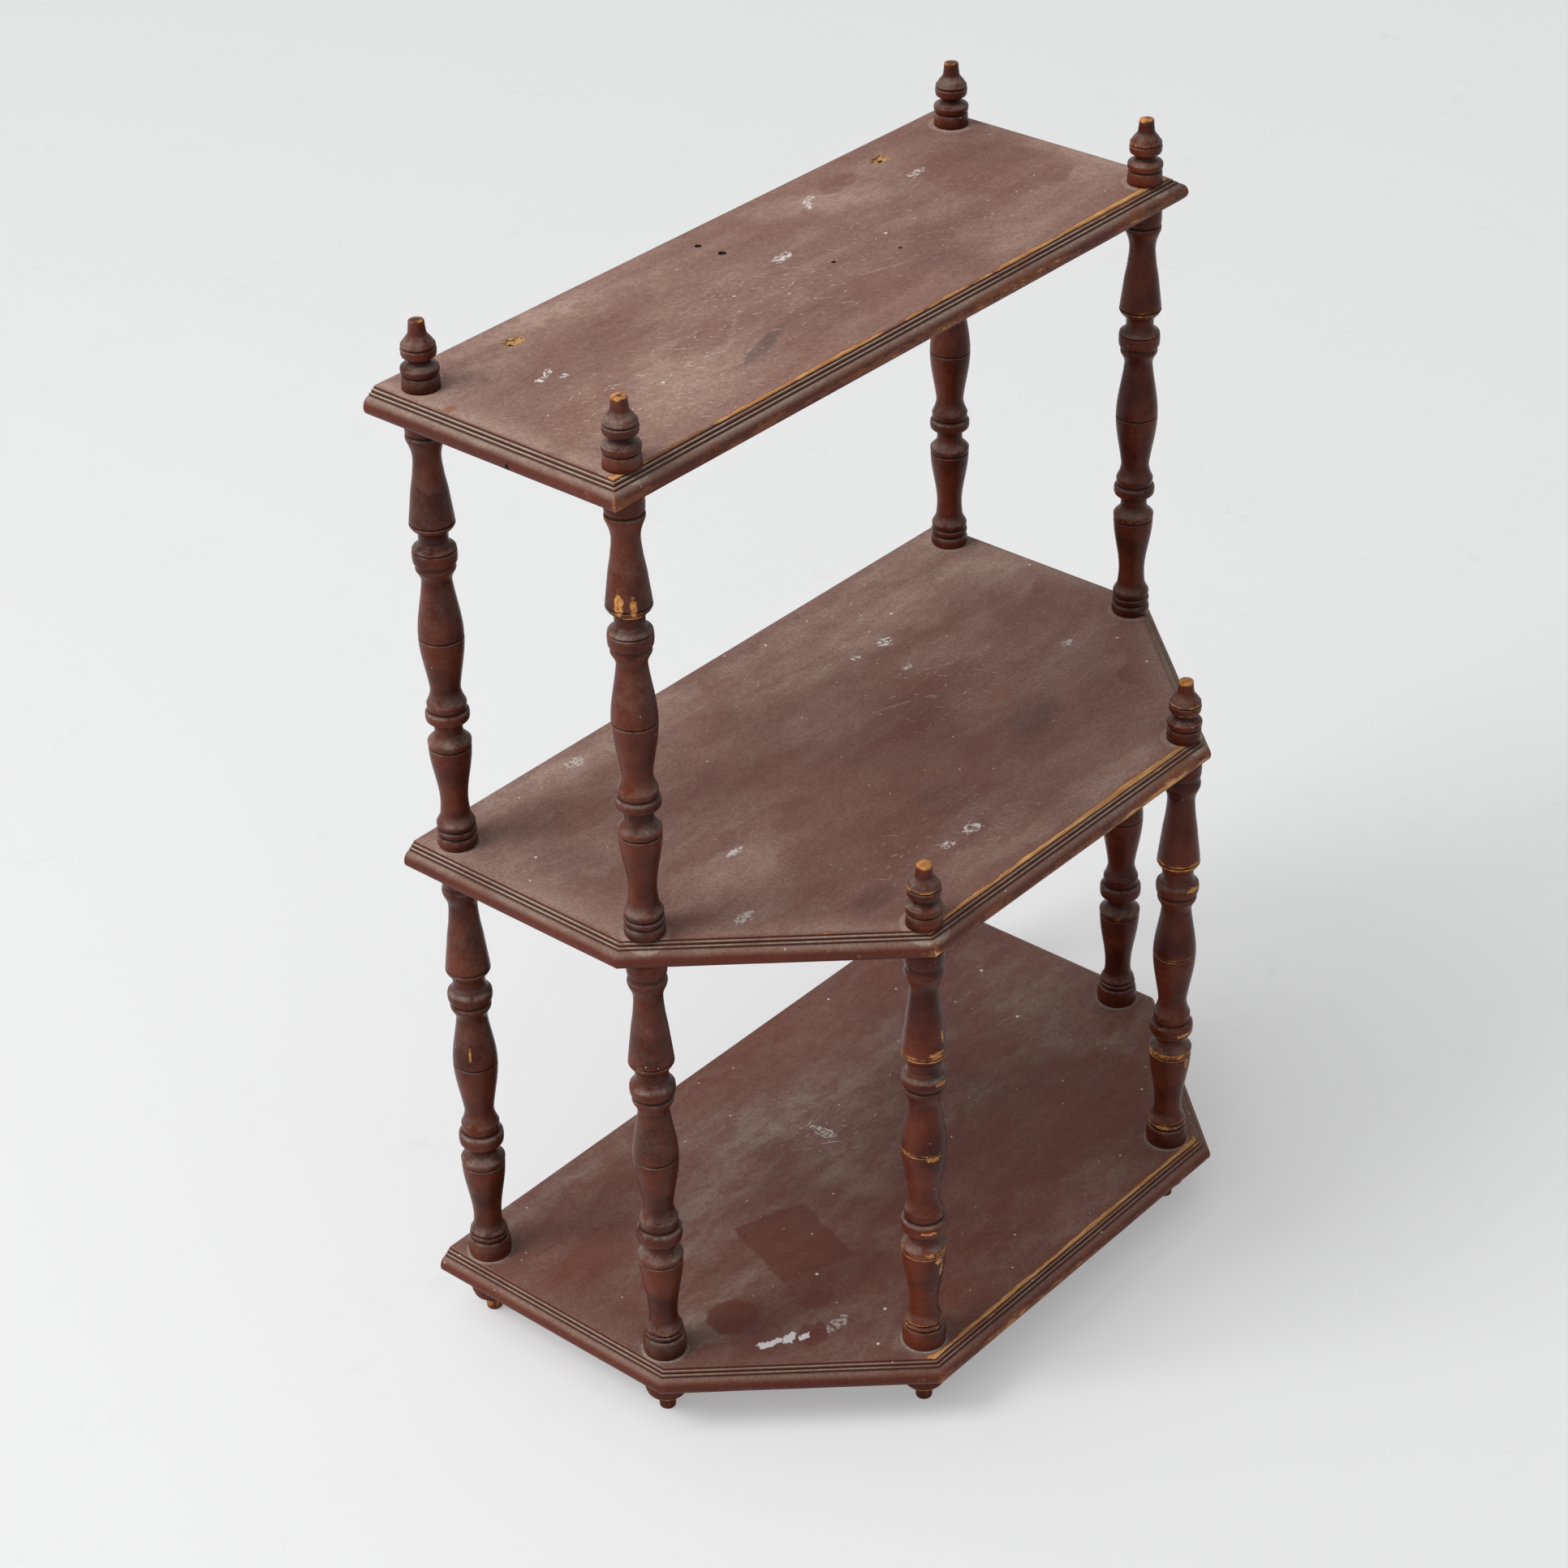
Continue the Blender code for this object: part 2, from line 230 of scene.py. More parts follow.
# Marks on each shelf: x and y from the back post line, half sizes in mm, turn in degrees, strength
shelfMarks = {
    "top": {
        "dust": (0.430, 0.294, 0.242, 1),
        "film": 0.40,
        "patchy": 0.55,
        "brushed": 0.28,
        "edge": 0.95,
        "scuffs": 1.0,
        "dusty": (
            (-160, 14, 80, 9, -4, 0.9), (-214, -12, 28, 24, 0, 0.45), (84, -10, 36, 13, -28, 1.0),
            (158, -2, 26, 16, 0, 0.35), (226, -100, 26, 50, 0, 0.25), (-165, -112, 60, 36, 10, 0.50),
            (118, -133, 28, 16, 20, 0.40), (-20, -40, 90, 14, 6, 0.25),
        ),
        "clean": (
            (117, -3, 17, 8, 12, 0.60), (210, -97, 17, 9, 15, 0.55), (-90, -20, 30, 10, 8, 0.35),
            (-96, -81, 28, 12, 15, 0.25), (40, -100, 70, 30, 10, 0.30), (190, -60, 40, 40, 0, 0.30),
        ),
        "pale": (
            (-185, -45, 4, 3, 0, 1.0), (-177, -42, 4, 2, 20, 1.0), (-174, -51, 3, 3, 0, 1.0),
            (15, -46, 9, 4, 15, 0.9), (84, -8, 8, 3, 40, 0.9),
            (92, -4, 3, 2, 0, 0.8), (160, -30, 8, 3, 0, 0.6),
        ),
        "scuffed": ((-150, -105, 75, 42, 8, 1.0), (-20, -85, 80, 40, 0, 0.85), (120, -80, 80, 50, 0, 0.5)),
        "stain": ((-241, -31, 5, 3, 0, 0.9),),
        "smudgeAndShade": ((-80, -113, 27, 4, 18, 0.6),),
    },
    "middle": {
        "dust": (0.415, 0.298, 0.246, 1),
        "film": 0.33,
        "patchy": 0.7,
        "brushed": 0.40,
        "edge": 0.85,
        "scuffs": 0.45,
        "dusty": (
            (-60, 8, 200, 20, -1, 0.50), (70, -30, 130, 52, 4, 0.44), (226, -30, 32, 60, 0, 0.50),
            (-230, -30, 24, 50, 0, 0.30), (150, -120, 70, 40, 10, 0.30),
            (25, -254, 80, 8, 0, 0.35), (-150, -150, 30, 60, -45, 0.22),
        ),
        "clean": ((228, -83, 16, 6, 12, 0.95), (175, -197, 18, 12, 0, 0.8), (-40, -160, 110, 50, 20, 0.35)),
        "pale": (
            (103, -50, 7, 5, 0, 1.0), (76, -47, 4, 3, 0, 0.9),
            (88, -79, 4, 3, 0, 0.8), (174, -140, 5, 3, 0, 0.7),
            (-33, -224, 7, 4, 0, 0.9), (-54, -224, 6, 3, 0, 0.8), (-138, -133, 8, 3, 0, 0.7),
            (-186, -181, 8, 4, 0, 0.6), (-124, 7, 8, 4, 0, 0.6),
        ),
        "scuffed": ((85, -105, 60, 40, 0, 0.70), (-60, -215, 60, 25, 0, 0.55)),
        "stain": ((96, -145, 11, 5, 10, 0.5),),
        "smudgeAndShade": (
            (90, -177, 24, 11, 10, 0.38), (-126, -226, 16, 8, 0, 0.34), (-17, -184, 14, 7, 0, 0.25),
            # the long mark along the left side is painted shade; the others are smudges
            (-206, -72, 20, 44, 0, 0.22),
        ),
    },
    "bottom": {
        "dust": (0.375, 0.318, 0.268, 1),
        "film": 0.125,
        "patchy": 1.35,
        "brushed": 0.80,
        "edge": 0.60,
        "scuffs": 0.40,
        "dusty": (
            (-60, 12, 150, 16, -2, 0.16), (-214, -12, 40, 34, 0, 0.12), (-60, -80, 120, 50, 10, 0.40),
            (20, -140, 60, 20, 12, 0.30), (-200, -140, 20, 34, -40, 0.30), (150, -80, 80, 40, 0, 0.46),
            (130, -150, 90, 50, 0, 0.30),
        ),
        "clean": (
            (-185, -160, 17, 15, 0, 0.95), (90, -190, 90, 50, 0, 0.7), (-167, -208, 12, 8, 0, 0.8),
            (-110, -195, 45, 22, -25, 0.6), (-40, 10, 80, 8, 0, 0.4),
        ),
        "pale": ((-9, -85, 4, 10, 0, 0.7), (-150, -214, 10, 4, 0, 0.5)),
        "chipped": ((-189, -194, 8, 3, -25, 1.0), (-178, -200, 6, 3, 10, 1.0), (-171, -206, 4, 2, 0, 1.0)),
        "scuffed": ((-10, -86, 26, 26, 0, 1.0),),
        "stain": (),
        "smudgeAndShade": (),
        "ovals": ((-185, -160, 17, 14, 0, 1.0), (-167, -212, 9, 6, 0, 0.8), (-140, -190, 13, 7, -20, 0.8)),
        "squares": ((-107, -143, 26, 31, -19, 0.75),),
        "rings": ((145, -30, 40, 40, 0, 0.16), (-21, -21, 36, 36, 0, 0.16)),
    },
}


# How strongly each kind of mark shows, and how soft its outline is
markLook = {
    "depth": 6,
    "ringThin": 11.0,
    "soft": {"smudgeAndShade": 0.45, "stain": 0.2},
    "stained": 0.75,
    "printed": 0.62,
    "scuffedAll": 0.18,
    "scratched": 0.90,
    "flecked": 0.95,
}
dustLook = {  # noise scales, turns of the wiping, and shares
    "ragged": (46.0, 26 * mm),
    "crisp": (60.0, 14 * mm),
    "cloud": (10.0, 18.0, 18.0),
    "wiped": (5.0, 46.0, 46.0),
    "wipedTurn": 0.25,
    "strokes": (30.0, 90.0, 90.0),
    "strokesTurn": -0.5,
    "lying": 0.55,
    "cleaned": 0.75,
    "postRings": ((0.026, 0.013, 0.30), (0.0158, 0.0138, 0.75)),  # starts, full, strength
}


# Chips on the turned pieces: post, tier below, angle from the camera's side, height and half sizes in mm
chipRadius = 12.5
chips = (
    ("side_left", "middle", -25, 218, 2.4, 7.6),
    ("side_left", "middle", 13, 216, 2.0, 5.6),
    ("side_left", "middle", 10, 208.6, 7.0, 1.1),
    ("front_left", "bottom", 52, 60, 1.3, 6.0),
    ("front_left", "bottom", 40, 68, 2.6, 2.2),
    ("front_left", "bottom", 30, 221, 5.0, 1.3),
    ("front_left", "bottom", 58, 232, 1.2, 5.0),
    ("front_left", "bottom", 10, 91, 4.5, 1.0),
    ("front_left", "bottom", 44, 199, 4.0, 1.2),
    ("front_right", "bottom", 30, 90, 5.0, 1.2),
    ("front_right", "bottom", 48, 66, 2.0, 3.6),
    ("front_right", "bottom", -20, 16, 5.0, 1.0),
    ("front_right", "bottom", 40, 200, 4.0, 1.2),
    ("front_left", "bottom", 24, 146, 4.2, 2.0),
    ("front_left", "bottom", 45, 268, 1.4, 2.2),
    ("back_left", "bottom", -8, 165, 0.7, 14.0),
)


def markPlace(place, mark, tier):  # the mark's own round of radius one
    x, y, halfX, halfY, turn = mark[:5]
    inputs = {
        "Vector": place,
        "Location": (x * mm, backLine + y * mm, shelfTop[tier]),
        "Rotation": (0.0, 0.0, math.radians(turn)),
        "Scale": (halfX * mm, halfY * mm, markLook["depth"] * mm),
    }
    return addNode(treeOf(place), "ShaderNodeMapping", inputs, vector_type="TEXTURE").outputs[0]


def markMask(place, marks, tier, soft, shape="round"):
    masks = []
    for mark in marks:
        local = markPlace(place, mark, tier)
        reach = vectorCalc("LENGTH", local)
        if shape == "square":
            sides = axes(vectorCalc("ABSOLUTE", local))
            reach = highest(sides["X"], sides["Y"])
        if shape == "ring":
            reach = calc("ABSOLUTE", calc("SUBTRACT", reach, 1.0))
            reach = times(reach, markLook["ringThin"])
        masks.append(times(stretch(reach, 1.0 + soft, 1.0 - soft), mark[5]))
    return highest(*masks)


def spotMask(place, ragged):
    spots = []
    for post, tier, angle, height, halfWide, halfHigh in chips:
        turn = math.radians(angle) + view["azimuth"]
        radius = chipRadius * mm
        spot = (
            posts[post].x + radius * math.sin(turn),
            posts[post].y - radius * math.cos(turn),
            shelfTop[tier] + height * mm,
        )
        away = vectorCalc("SUBTRACT", place, spot)
        size = (1 / (halfWide * mm), 1 / (halfWide * mm), 1 / (halfHigh * mm))
        local = vectorCalc("MULTIPLY", away, size)
        reach = vectorCalc("LENGTH", local)
        spots.append(stretch(scaled(ragged, 2.8, reach), 1.10, 0.90))
    return highest(*spots)


def postRing(place, outer, inner):  # dust gathered round the foot of each post
    flat = vectorCalc("MULTIPLY", place, (1.0, 1.0, 0.0))
    away = [vectorCalc("DISTANCE", flat, (point.x, point.y, 0.0)) for point in posts.values()]
    return stretch(fold("MINIMUM", away), outer, inner)


# Scratches: cells in a metre, width in mm, longest half in cells, share of cells, lean in radians
scratchSets = (
    (20.0, 0.55, 0.48, 0.60, -0.45),
    (52.0, 0.60, 0.48, 0.50, 0.45),
    (95.0, 0.65, 0.50, 0.52, 0.30),
    (130.0, 0.60, 0.50, 0.50, -0.5),
)


def scratches(place, cells, width, longest, share, lean):  # a short bowed line in each chosen cell
    flat = vectorCalc("MULTIPLY", place, (cells, cells, 0.0))
    tree = treeOf(place)
    cell = addNode(tree, "ShaderNodeTexVoronoi", {"Vector": flat, "Scale": 1.0}, voronoi_dimensions="2D")
    away = vectorCalc("SUBTRACT", flat, cell.outputs["Position"])
    pick = axes(cell.outputs["Color"])
    turn = scaled(pick["X"], 0.9, lean)
    inputs = {"Vector": away, "Angle": turn}
    parts = axes(addNode(tree, "ShaderNodeVectorRotate", inputs, rotation_type="Z_AXIS").outputs[0])
    bow = times(parts["X"], parts["X"], scaled(pick["Z"], 0.2, -0.1))
    half = width * mm * cells / 2
    line = stretch(calc("ABSOLUTE", calc("ADD", parts["Y"], bow)), half * 1.3, half * 0.5)
    reach = scaled(times(pick["Z"], pick["Z"]), longest * 0.8, longest * 0.2)
    ends = stretch(calc("DIVIDE", calc("ABSOLUTE", parts["X"]), reach), 1.0, 0.4)
    chosen = stretch(pick["Y"], 1.0 - share, 1.25 - share)
    return times(line, ends, chosen)


def flecks(place, cells, share):
    cell = addNode(treeOf(place), "ShaderNodeTexVoronoi", {"Vector": place, "Scale": cells})
    pick = axes(cell.outputs["Color"])
    size = scaled(pick["Y"], 0.06, 0.04)
    dot = stretch(calc("DIVIDE", cell.outputs["Distance"], size), 1.2, 0.8)
    return times(dot, stretch(pick["X"], 1.0 - share, 1.02 - share))


def warped(place, scale, reach):  # ragged outlines for every mark
    inputs = {"Vector": place, "Scale": scale, "Detail": 4.0, "Roughness": 0.6}
    shift = addNode(treeOf(place), "ShaderNodeTexNoise", inputs).outputs["Color"]
    middle = vectorCalc("SUBTRACT", shift, (0.5, 0.5, 0.5))
    moved = vectorCalc("MULTIPLY", middle, (reach, reach, 0.0))
    return vectorCalc("ADD", place, moved)


def shelfDust(place, tier, upward, speckle):
    marks = shelfMarks[tier]
    ragged = warped(place, *dustLook["ragged"])
    crisp = warped(place, *dustLook["crisp"])
    cloud = grainNoise(ragged, dustLook["cloud"], 5.0, 0.56)
    wiped = grainNoise(place, dustLook["wiped"], 4.0, 0.55, dustLook["wipedTurn"])
    patchy = marks["film"] * marks["patchy"]
    film = scaled(stretch(cloud, 0.32, 0.68), patchy, marks["film"] - patchy / 2)
    lying = markMask(ragged, marks["dusty"], tier, 0.75)
    lying = times(lying, scaled(stretch(cloud, 0.30, 0.62), 0.55, 0.45))
    film = calc("ADD", film, times(lying, dustLook["lying"]), clamp=True)
    film = times(film, scaled(stretch(wiped, 0.36, 0.62), 0.30, 0.82))
    brushed = grainNoise(ragged, dustLook["strokes"], 6.0, 0.75, dustLook["strokesTurn"])
    low = marks["brushed"]
    film = times(film, scaled(stretch(brushed, 0.36, 0.64), low, 1.0 - low / 2))
    clean = markMask(crisp, marks["clean"], tier, 0.12)
    if "squares" in marks:
        clean = highest(clean, markMask(crisp, marks["squares"], tier, 0.04, "square"))
    film = times(film, rest(times(clean, dustLook["cleaned"])))
    if "rings" in marks:
        film = highest(film, markMask(ragged, marks["rings"], tier, 0.6, "ring"))
    edge = times(attributeOf(treeOf(place), "settle"), stretch(cloud, 0.20, 0.55))
    film = highest(film, times(edge, marks["edge"]))
    for spot, (outer, inner, share) in zip((ragged, place), dustLook["postRings"]):
        film = highest(film, times(postRing(spot, outer, inner), share))
    return times(film, upward, scaled(speckle, 0.55, 0.68))


def shelfMarksOver(place, tier, look, upward, colour):
    marks = shelfMarks[tier]
    ragged = warped(place, 110.0, 9 * mm)
    for label in ("smudgeAndShade", "stain"):
        if marks[label]:
            mask = markMask(ragged, marks[label], tier, markLook["soft"][label])
            colour = tint(times(mask, markLook["stained"]), colour, look[label])
    if "squares" in marks:
        edged = warped(place, 60.0, 8 * mm)
        mask = markMask(edged, marks["squares"], tier, 0.05, "square")
        mask = highest(mask, markMask(edged, marks["ovals"], tier, 0.12))
        colour = tint(times(mask, markLook["printed"]), colour, look["shade"])
    if "chipped" in marks:
        mask = markMask(warped(place, 240.0, 9 * mm), marks["chipped"], tier, 0.10)
        colour = tint(times(mask, upward), colour, look["chipped"])
    scuffed = markMask(warped(place, 40.0, 30 * mm), marks["scuffed"], tier, 0.6)
    scuffed = highest(scuffed, markLook["scuffedAll"] * marks["scuffs"])
    lines = highest(*[scratches(place, *sizes) for sizes in scratchSets])
    broken = stretch(grainNoise(place, 300.0, 4.0, 0.75), 0.36, 0.54)
    lines = times(lines, broken, scuffed, upward)
    colour = tint(times(lines, markLook["scratched"]), colour, look["scratch"])
    spatter = stretch(grainNoise(place, 330.0, 5.0, 0.75), 0.48, 0.53)
    pale = times(markMask(ragged, marks["pale"], tier, 0.15), spatter)
    dots = highest(flecks(place, 75.0, 0.16), flecks(place, 150.0, 0.16), pale)
    dots = times(dots, upward, markLook["flecked"])
    return tint(dots, colour, look["fleck"]), lines


def paintedWood(name, look, tier=None):
    material, tree = blankMaterial(name)
    place = addNode(tree, "ShaderNodeTexCoord").outputs["Object"]
    facing = axes(addNode(tree, "ShaderNodeNewGeometry").outputs["Normal"])
    upward = stretch(facing["Z"], 0.25, 0.90)
    wear = attributeOf(tree, "wear")
    groove = attributeOf(tree, "groove")

    tone = stretch(grainNoise(place, look["toneScale"], 5.0, 0.6), 0.32, 0.66)
    speckle = stretch(grainNoise(place, 430.0, 4.0, 0.9), 0.34, 0.66)
    grain = grainNoise(place, look["grain"], 5.0, 0.65)
    colour = tint(tone, look["shade"], look["paint"])
    # painted shade: faces that do not face up are made darker
    colour = tint(rest(upward), colour, look["uprightPaintedShade"], "MULTIPLY")
    streak = tint(stretch(grain, 0.36, 0.66), (0.82, 0.80, 0.79, 1), (1.12, 1.12, 1.12, 1))
    colour = tint(look["grainShare"], colour, streak, "MULTIPLY")
    dots = tint(speckle, (0.84, 0.83, 0.82, 1), (1.14, 1.15, 1.16, 1))
    colour = tint(1.0, colour, dots, "MULTIPLY")

    # dust lies on what faces up; dirt and painted shade darken what is hollow
    if tier:
        dusty = shelfDust(place, tier, upward, speckle)
    else:
        cloud = grainNoise(place, 90.0, 6.0, 0.7)
        ledge = stretch(attributeOf(tree, "settle"), 0.10, 0.90)
        dusty = times(stretch(cloud, 0.32, 0.66), ledge, 0.66)
        dusty = times(dusty, scaled(speckle, 0.6, 0.65), rest(groove))
    dirtAndShade = times(groove, rest(times(upward, 0.35 if tier else 0.15)))
    dust = shelfMarks[tier]["dust"] if tier else look["dust"]
    if tier:
        tall = axes(place)["Z"]
        below = stretch(tall, shelfTop[tier] - 0.4 * mm, shelfTop[tier] - 1.2 * mm)
        dust = tint(below, dust, look["oldDust"])
    colour = tint(dusty, colour, dust)
    # grooves and crevices go near-black: dirt, and painted shade in the hollows
    colour = tint(times(dirtAndShade, 0.92), colour, look["hollowDirtAndShade"])

    varied = scaled(grain, look["grainGloss"], look["gloss"] - look["grainGloss"] / 2)
    rough = scaled(dusty, 0.55, varied)
    height = scaled(speckle, 0.30, times(grain, look["grainBump"]))
    if tier:
        colour, lines = shelfMarksOver(place, tier, look, upward, colour)
        height = calc("SUBTRACT", height, times(lines, 0.8))
    else:
        dot = times(flecks(place, 210.0, 0.05), 0.8)
        colour = tint(dot, colour, look["fleck"])

    # bare wood where edges have rubbed through: the more wear, the lower the bar
    patches = grainNoise(place, look["wearPatch"], 4.0, 0.6)
    ragWear = grainNoise(place, look["wearRag"], 6.0, 0.7)
    cover = scaled(patches, bareBar["patches"], times(ragWear, bareBar["rags"]))
    above = calc("ADD", cover, scaled(wear, bareBar["gain"], -bareBar["level"]))
    bare = stretch(above, 0.0, bareBar["soft"])
    thin = scaled(calc("SUBTRACT", speckle, 0.5), 0.05, above)
    halo = stretch(thin, *bareBar["thin"])
    if not tier:
        spots = spotMask(place, calc("SUBTRACT", ragWear, 0.5))
        bare = highest(bare, spots)
        halo = highest(halo, spots)
    woodLine = stretch(grainNoise(place, (60.0, 420.0, 420.0), 4.0, 0.6), 0.35, 0.70)
    woodTone = tint(woodLine, look["bareDark"], look["bare"])
    colour = tint(times(halo, look["rubbed"]), colour, look["thinned"])
    colour = tint(bare, colour, woodTone)
    rough = scaled(bare, 0.15, rough, clamp=True)
    height = calc("SUBTRACT", height, times(bare, 0.7))

    bump = addNode(tree, "ShaderNodeBump", {"Strength": 0.40, "Distance": 0.0004, "Height": height})
    inputs = {"Base Color": colour, "Roughness": rough, "Normal": bump.outputs[0]}
    shader = addNode(tree, "ShaderNodeBsdfPrincipled", inputs)
    shader.inputs["Specular IOR Level"].default_value = look["shine"]
    addNode(tree, "ShaderNodeOutputMaterial", {0: shader.outputs[0]})
    return material


def splitWood(name, dark, pale):  # raw wood where the face has broken out; in near-black colours, painted shade inside holes
    material, tree = blankMaterial(name)
    place = addNode(tree, "ShaderNodeTexCoord").outputs["Object"]
    grain = grainNoise(place, (140.0, 900.0, 900.0), 4.0, 0.6)
    colour = tint(stretch(grain, 0.3, 0.7), dark, pale)
    bump = addNode(tree, "ShaderNodeBump", {"Strength": 0.6, "Distance": 0.0006, "Height": grain})
    inputs = {"Base Color": colour, "Roughness": 0.75, "Normal": bump.outputs[0]}
    shader = addNode(tree, "ShaderNodeBsdfPrincipled", inputs)
    addNode(tree, "ShaderNodeOutputMaterial", {0: shader.outputs[0]})
    return material


boardWood = {tier: paintedWood("shelf_wood_" + tier, boardPaint, tier) for tier in tiers}
turnedWood = paintedWood("turned_wood", turnedPaint)
footWood = paintedWood("foot_wood", footPaint)
rawWood = splitWood("split_wood", (0.200, 0.085, 0.030, 1), (0.680, 0.400, 0.160, 1))
# near-black painted shade inside the nail holes, screw holes and the notch
holeShadeWood = splitWood("hole_painted_shade", (0.006, 0.004, 0.003, 1), (0.030, 0.014, 0.009, 1))
print("stage: materials made")


# Turned profiles in mm, running upwards: height, radius, and the curve that leads there, else straight
curves = {
    "ease": (0.0, 0.0),
    "round": (1.8, 0.0),
    "hollow": (0.0, 1.8),
    "swell": (0.8, 0.0),
    "sink": (0.0, 0.7),
    "bell": (0.6, 0.5),
}
upperSpindle = {
    "segments": 64,
    "outOfRound": 0.006,
    "line": (
        (0, 11.2), (3.2, 12.0, "round"), (6.4, 11.3, "hollow"), (7.0, 10.5), (7.7, 10.5), (8.4, 11.5),
        (9.8, 11.7, "round"), (11.2, 11.5, "hollow"), (11.9, 10.3), (12.6, 10.3), (13.2, 11.3),
        (15.2, 11.4), (16.2, 11.0), (23.0, 8.55, "round"), (30.0, 8.1, "round"), (65.4, 12.4, "ease"),
        (65.7, 11.5), (66.4, 11.5), (66.8, 12.5), (69.7, 12.6), (70.9, 11.6), (72.4, 10.0),
        (76.5, 8.2, "round"), (81.4, 8.2), (83.0, 11.6, "hollow"), (84.0, 12.5), (86.3, 12.8, "round"),
        (88.6, 12.6, "hollow"), (89.5, 12.0), (90.2, 10.9), (90.8, 10.9), (91.5, 11.3), (94.5, 11.5),
        (95.5, 11.0), (104.0, 8.75, "round"), (136.5, 13.0, "swell"), (136.75, 12.1), (137.55, 12.1),
        (137.8, 13.0), (172.0, 8.7, "sink"), (179.2, 11.3, "hollow"), (180.5, 11.6), (182.5, 11.1),
        (183.6, 11.2), (184.4, 12.5), (188.0, 12.8, "round"), (191.2, 12.6, "hollow"), (191.5, 11.7),
        (192.0, 11.7), (192.3, 12.5), (193.2, 11.9), (195.5, 9.3, "round"), (198.0, 8.4, "round"),
        (200.5, 8.6), (205.5, 11.9, "hollow"), (207.3, 12.9), (208.0, 13.0), (208.25, 12.0),
        (209.0, 12.0), (209.3, 12.85), (215.0, 12.15), (225.0, 10.9), (240.0, 8.65, "bell"),
        (247.5, 8.0, "round"), (257.0, 10.2, "hollow"), (259.0, 11.0), (260.2, 11.2, "round"),
        (261.6, 11.1), (262.1, 10.1), (262.8, 10.1), (263.4, 11.0), (268.0, 11.2, "round"),
        (273.7, 11.1),
    ),
}
lowerSpindle = {
    "segments": 64,
    "outOfRound": 0.006,
    "line": (
        (0, 12.9), (2.0, 13.3, "round"), (5.0, 13.4), (8.0, 13.2), (11.0, 12.6), (12.5, 12.0, "hollow"),
        (13.0, 10.9), (13.6, 10.9), (14.2, 11.7), (15.2, 11.95, "round"), (16.3, 11.7, "hollow"),
        (16.8, 10.7), (17.4, 10.7), (18.2, 11.4), (19.0, 11.2), (26.0, 8.8, "round"),
        (29.5, 8.65, "round"), (71.3, 13.3, "ease"), (71.6, 12.3), (72.3, 12.3), (72.6, 13.4),
        (75.5, 13.6), (76.6, 12.6), (78.0, 11.0), (82.0, 9.0, "round"), (85.5, 9.0),
        (87.2, 12.4, "hollow"), (88.0, 13.4), (91.5, 13.8, "round"), (95.0, 13.5, "hollow"),
        (96.2, 12.6), (97.0, 11.3), (97.6, 11.3), (98.6, 11.6), (103.0, 11.6), (104.0, 11.1),
        (113.0, 9.0, "round"), (148.9, 13.5, "swell"), (149.1, 12.5), (149.95, 12.5), (150.2, 13.5),
        (183.0, 9.4, "sink"), (190.5, 12.0, "hollow"), (192.0, 12.4), (193.4, 12.3), (194.2, 11.6),
        (194.9, 11.6), (196.4, 12.4), (197.0, 13.2), (200.0, 13.55, "round"), (202.6, 13.3, "hollow"),
        (203.6, 12.4), (206.0, 10.6, "round"), (209.0, 9.8, "round"), (211.5, 9.9),
        (216.8, 12.4, "hollow"), (218.6, 13.4), (219.5, 13.5), (219.7, 12.4), (220.4, 12.4),
        (220.7, 13.4), (228.0, 12.6), (240.0, 11.2), (256.0, 9.2, "bell"), (265.0, 8.65, "round"),
        (272.6, 10.7, "hollow"), (274.6, 11.4), (276.4, 11.7, "round"), (278.2, 11.5, "hollow"),
        (279.6, 10.9), (281.6, 10.9), (282.4, 11.5), (287.0, 11.9, "round"), (293.3, 11.8),
    ),
}
finial = {
    "segments": 64,
    "outOfRound": 0.006,
    "tip": 2.6,
    "line": (
        (0, 10.8), (3.0, 10.6), (7.5, 10.3), (7.8, 9.5), (8.4, 9.5), (8.7, 10.1), (9.6, 10.6, "round"),
        (11.2, 10.8, "round"), (12.5, 10.6, "hollow"), (13.1, 10.1), (13.4, 9.2), (13.7, 9.1),
        (14.0, 8.3), (14.3, 8.2), (14.7, 7.2), (15.4, 6.6, "round"), (16.9, 6.4), (17.4, 7.0),
        (17.8, 7.5), (18.2, 7.6), (18.5, 8.2), (19.4, 9.5, "round"), (20.2, 9.8), (23.0, 9.95),
        (23.8, 9.8), (24.1, 9.0), (24.6, 9.0), (24.9, 9.65), (25.8, 9.6), (26.3, 9.3), (26.6, 8.8),
        (27.3, 8.5), (33.0, 5.05, "swell"), (36.2, 4.65), (39.0, 4.45), (39.7, 4.1, "hollow"),
        (40.0, 3.3),
    ),
}
bunFoot = {
    "segments": 64,
    "outOfRound": 0.008,
    "stub": 12.0,
    "stubWear": 0.82,
    "line": (
        (0, 4.2), (0.8, 5.0, "round"), (6.0, 5.3), (11.8, 5.6), (12.5, 6.6, "hollow"), (12.7, 9.9),
        (13.3, 11.9, "round"), (14.0, 12.4), (14.5, 11.7), (15.0, 11.8), (15.4, 12.7),
        (17.4, 13.4, "round"), (20.5, 13.4), (22.3, 12.8, "hollow"), (22.7, 12.0), (23.4, 12.0),
        (23.8, 12.9), (30.0, 13.2),
    ),
}
turningTool = {
    "sample": 0.12,
    "soften": 0.10,
    "cavity": 0.9,
    "cavityDepth": 0.28,
    "bowl": 3.2,
    "bowlDepth": 1.1,
    "ledge": 0.5,
    "keep": 0.007,
    "longest": 4.0,
    "endWear": 0.5,
    "turn": (40, 90),  # so that no two pieces are out of round alike
}


def bendSpan(start, end, slopes, count):
    chord = end[1] - start[1]
    rows = []
    for step in range(1, count + 1):
        t = step / count
        if slopes is None:
            radius = start[1] + chord * t
        else:
            rise = 3 * t * t - 2 * t**3
            rise += slopes[0] * (t**3 - 2 * t * t + t) + slopes[1] * (t**3 - t * t)
            radius = start[1] + chord * rise
        rows.append((start[0] + (end[0] - start[0]) * t, radius))
    return rows


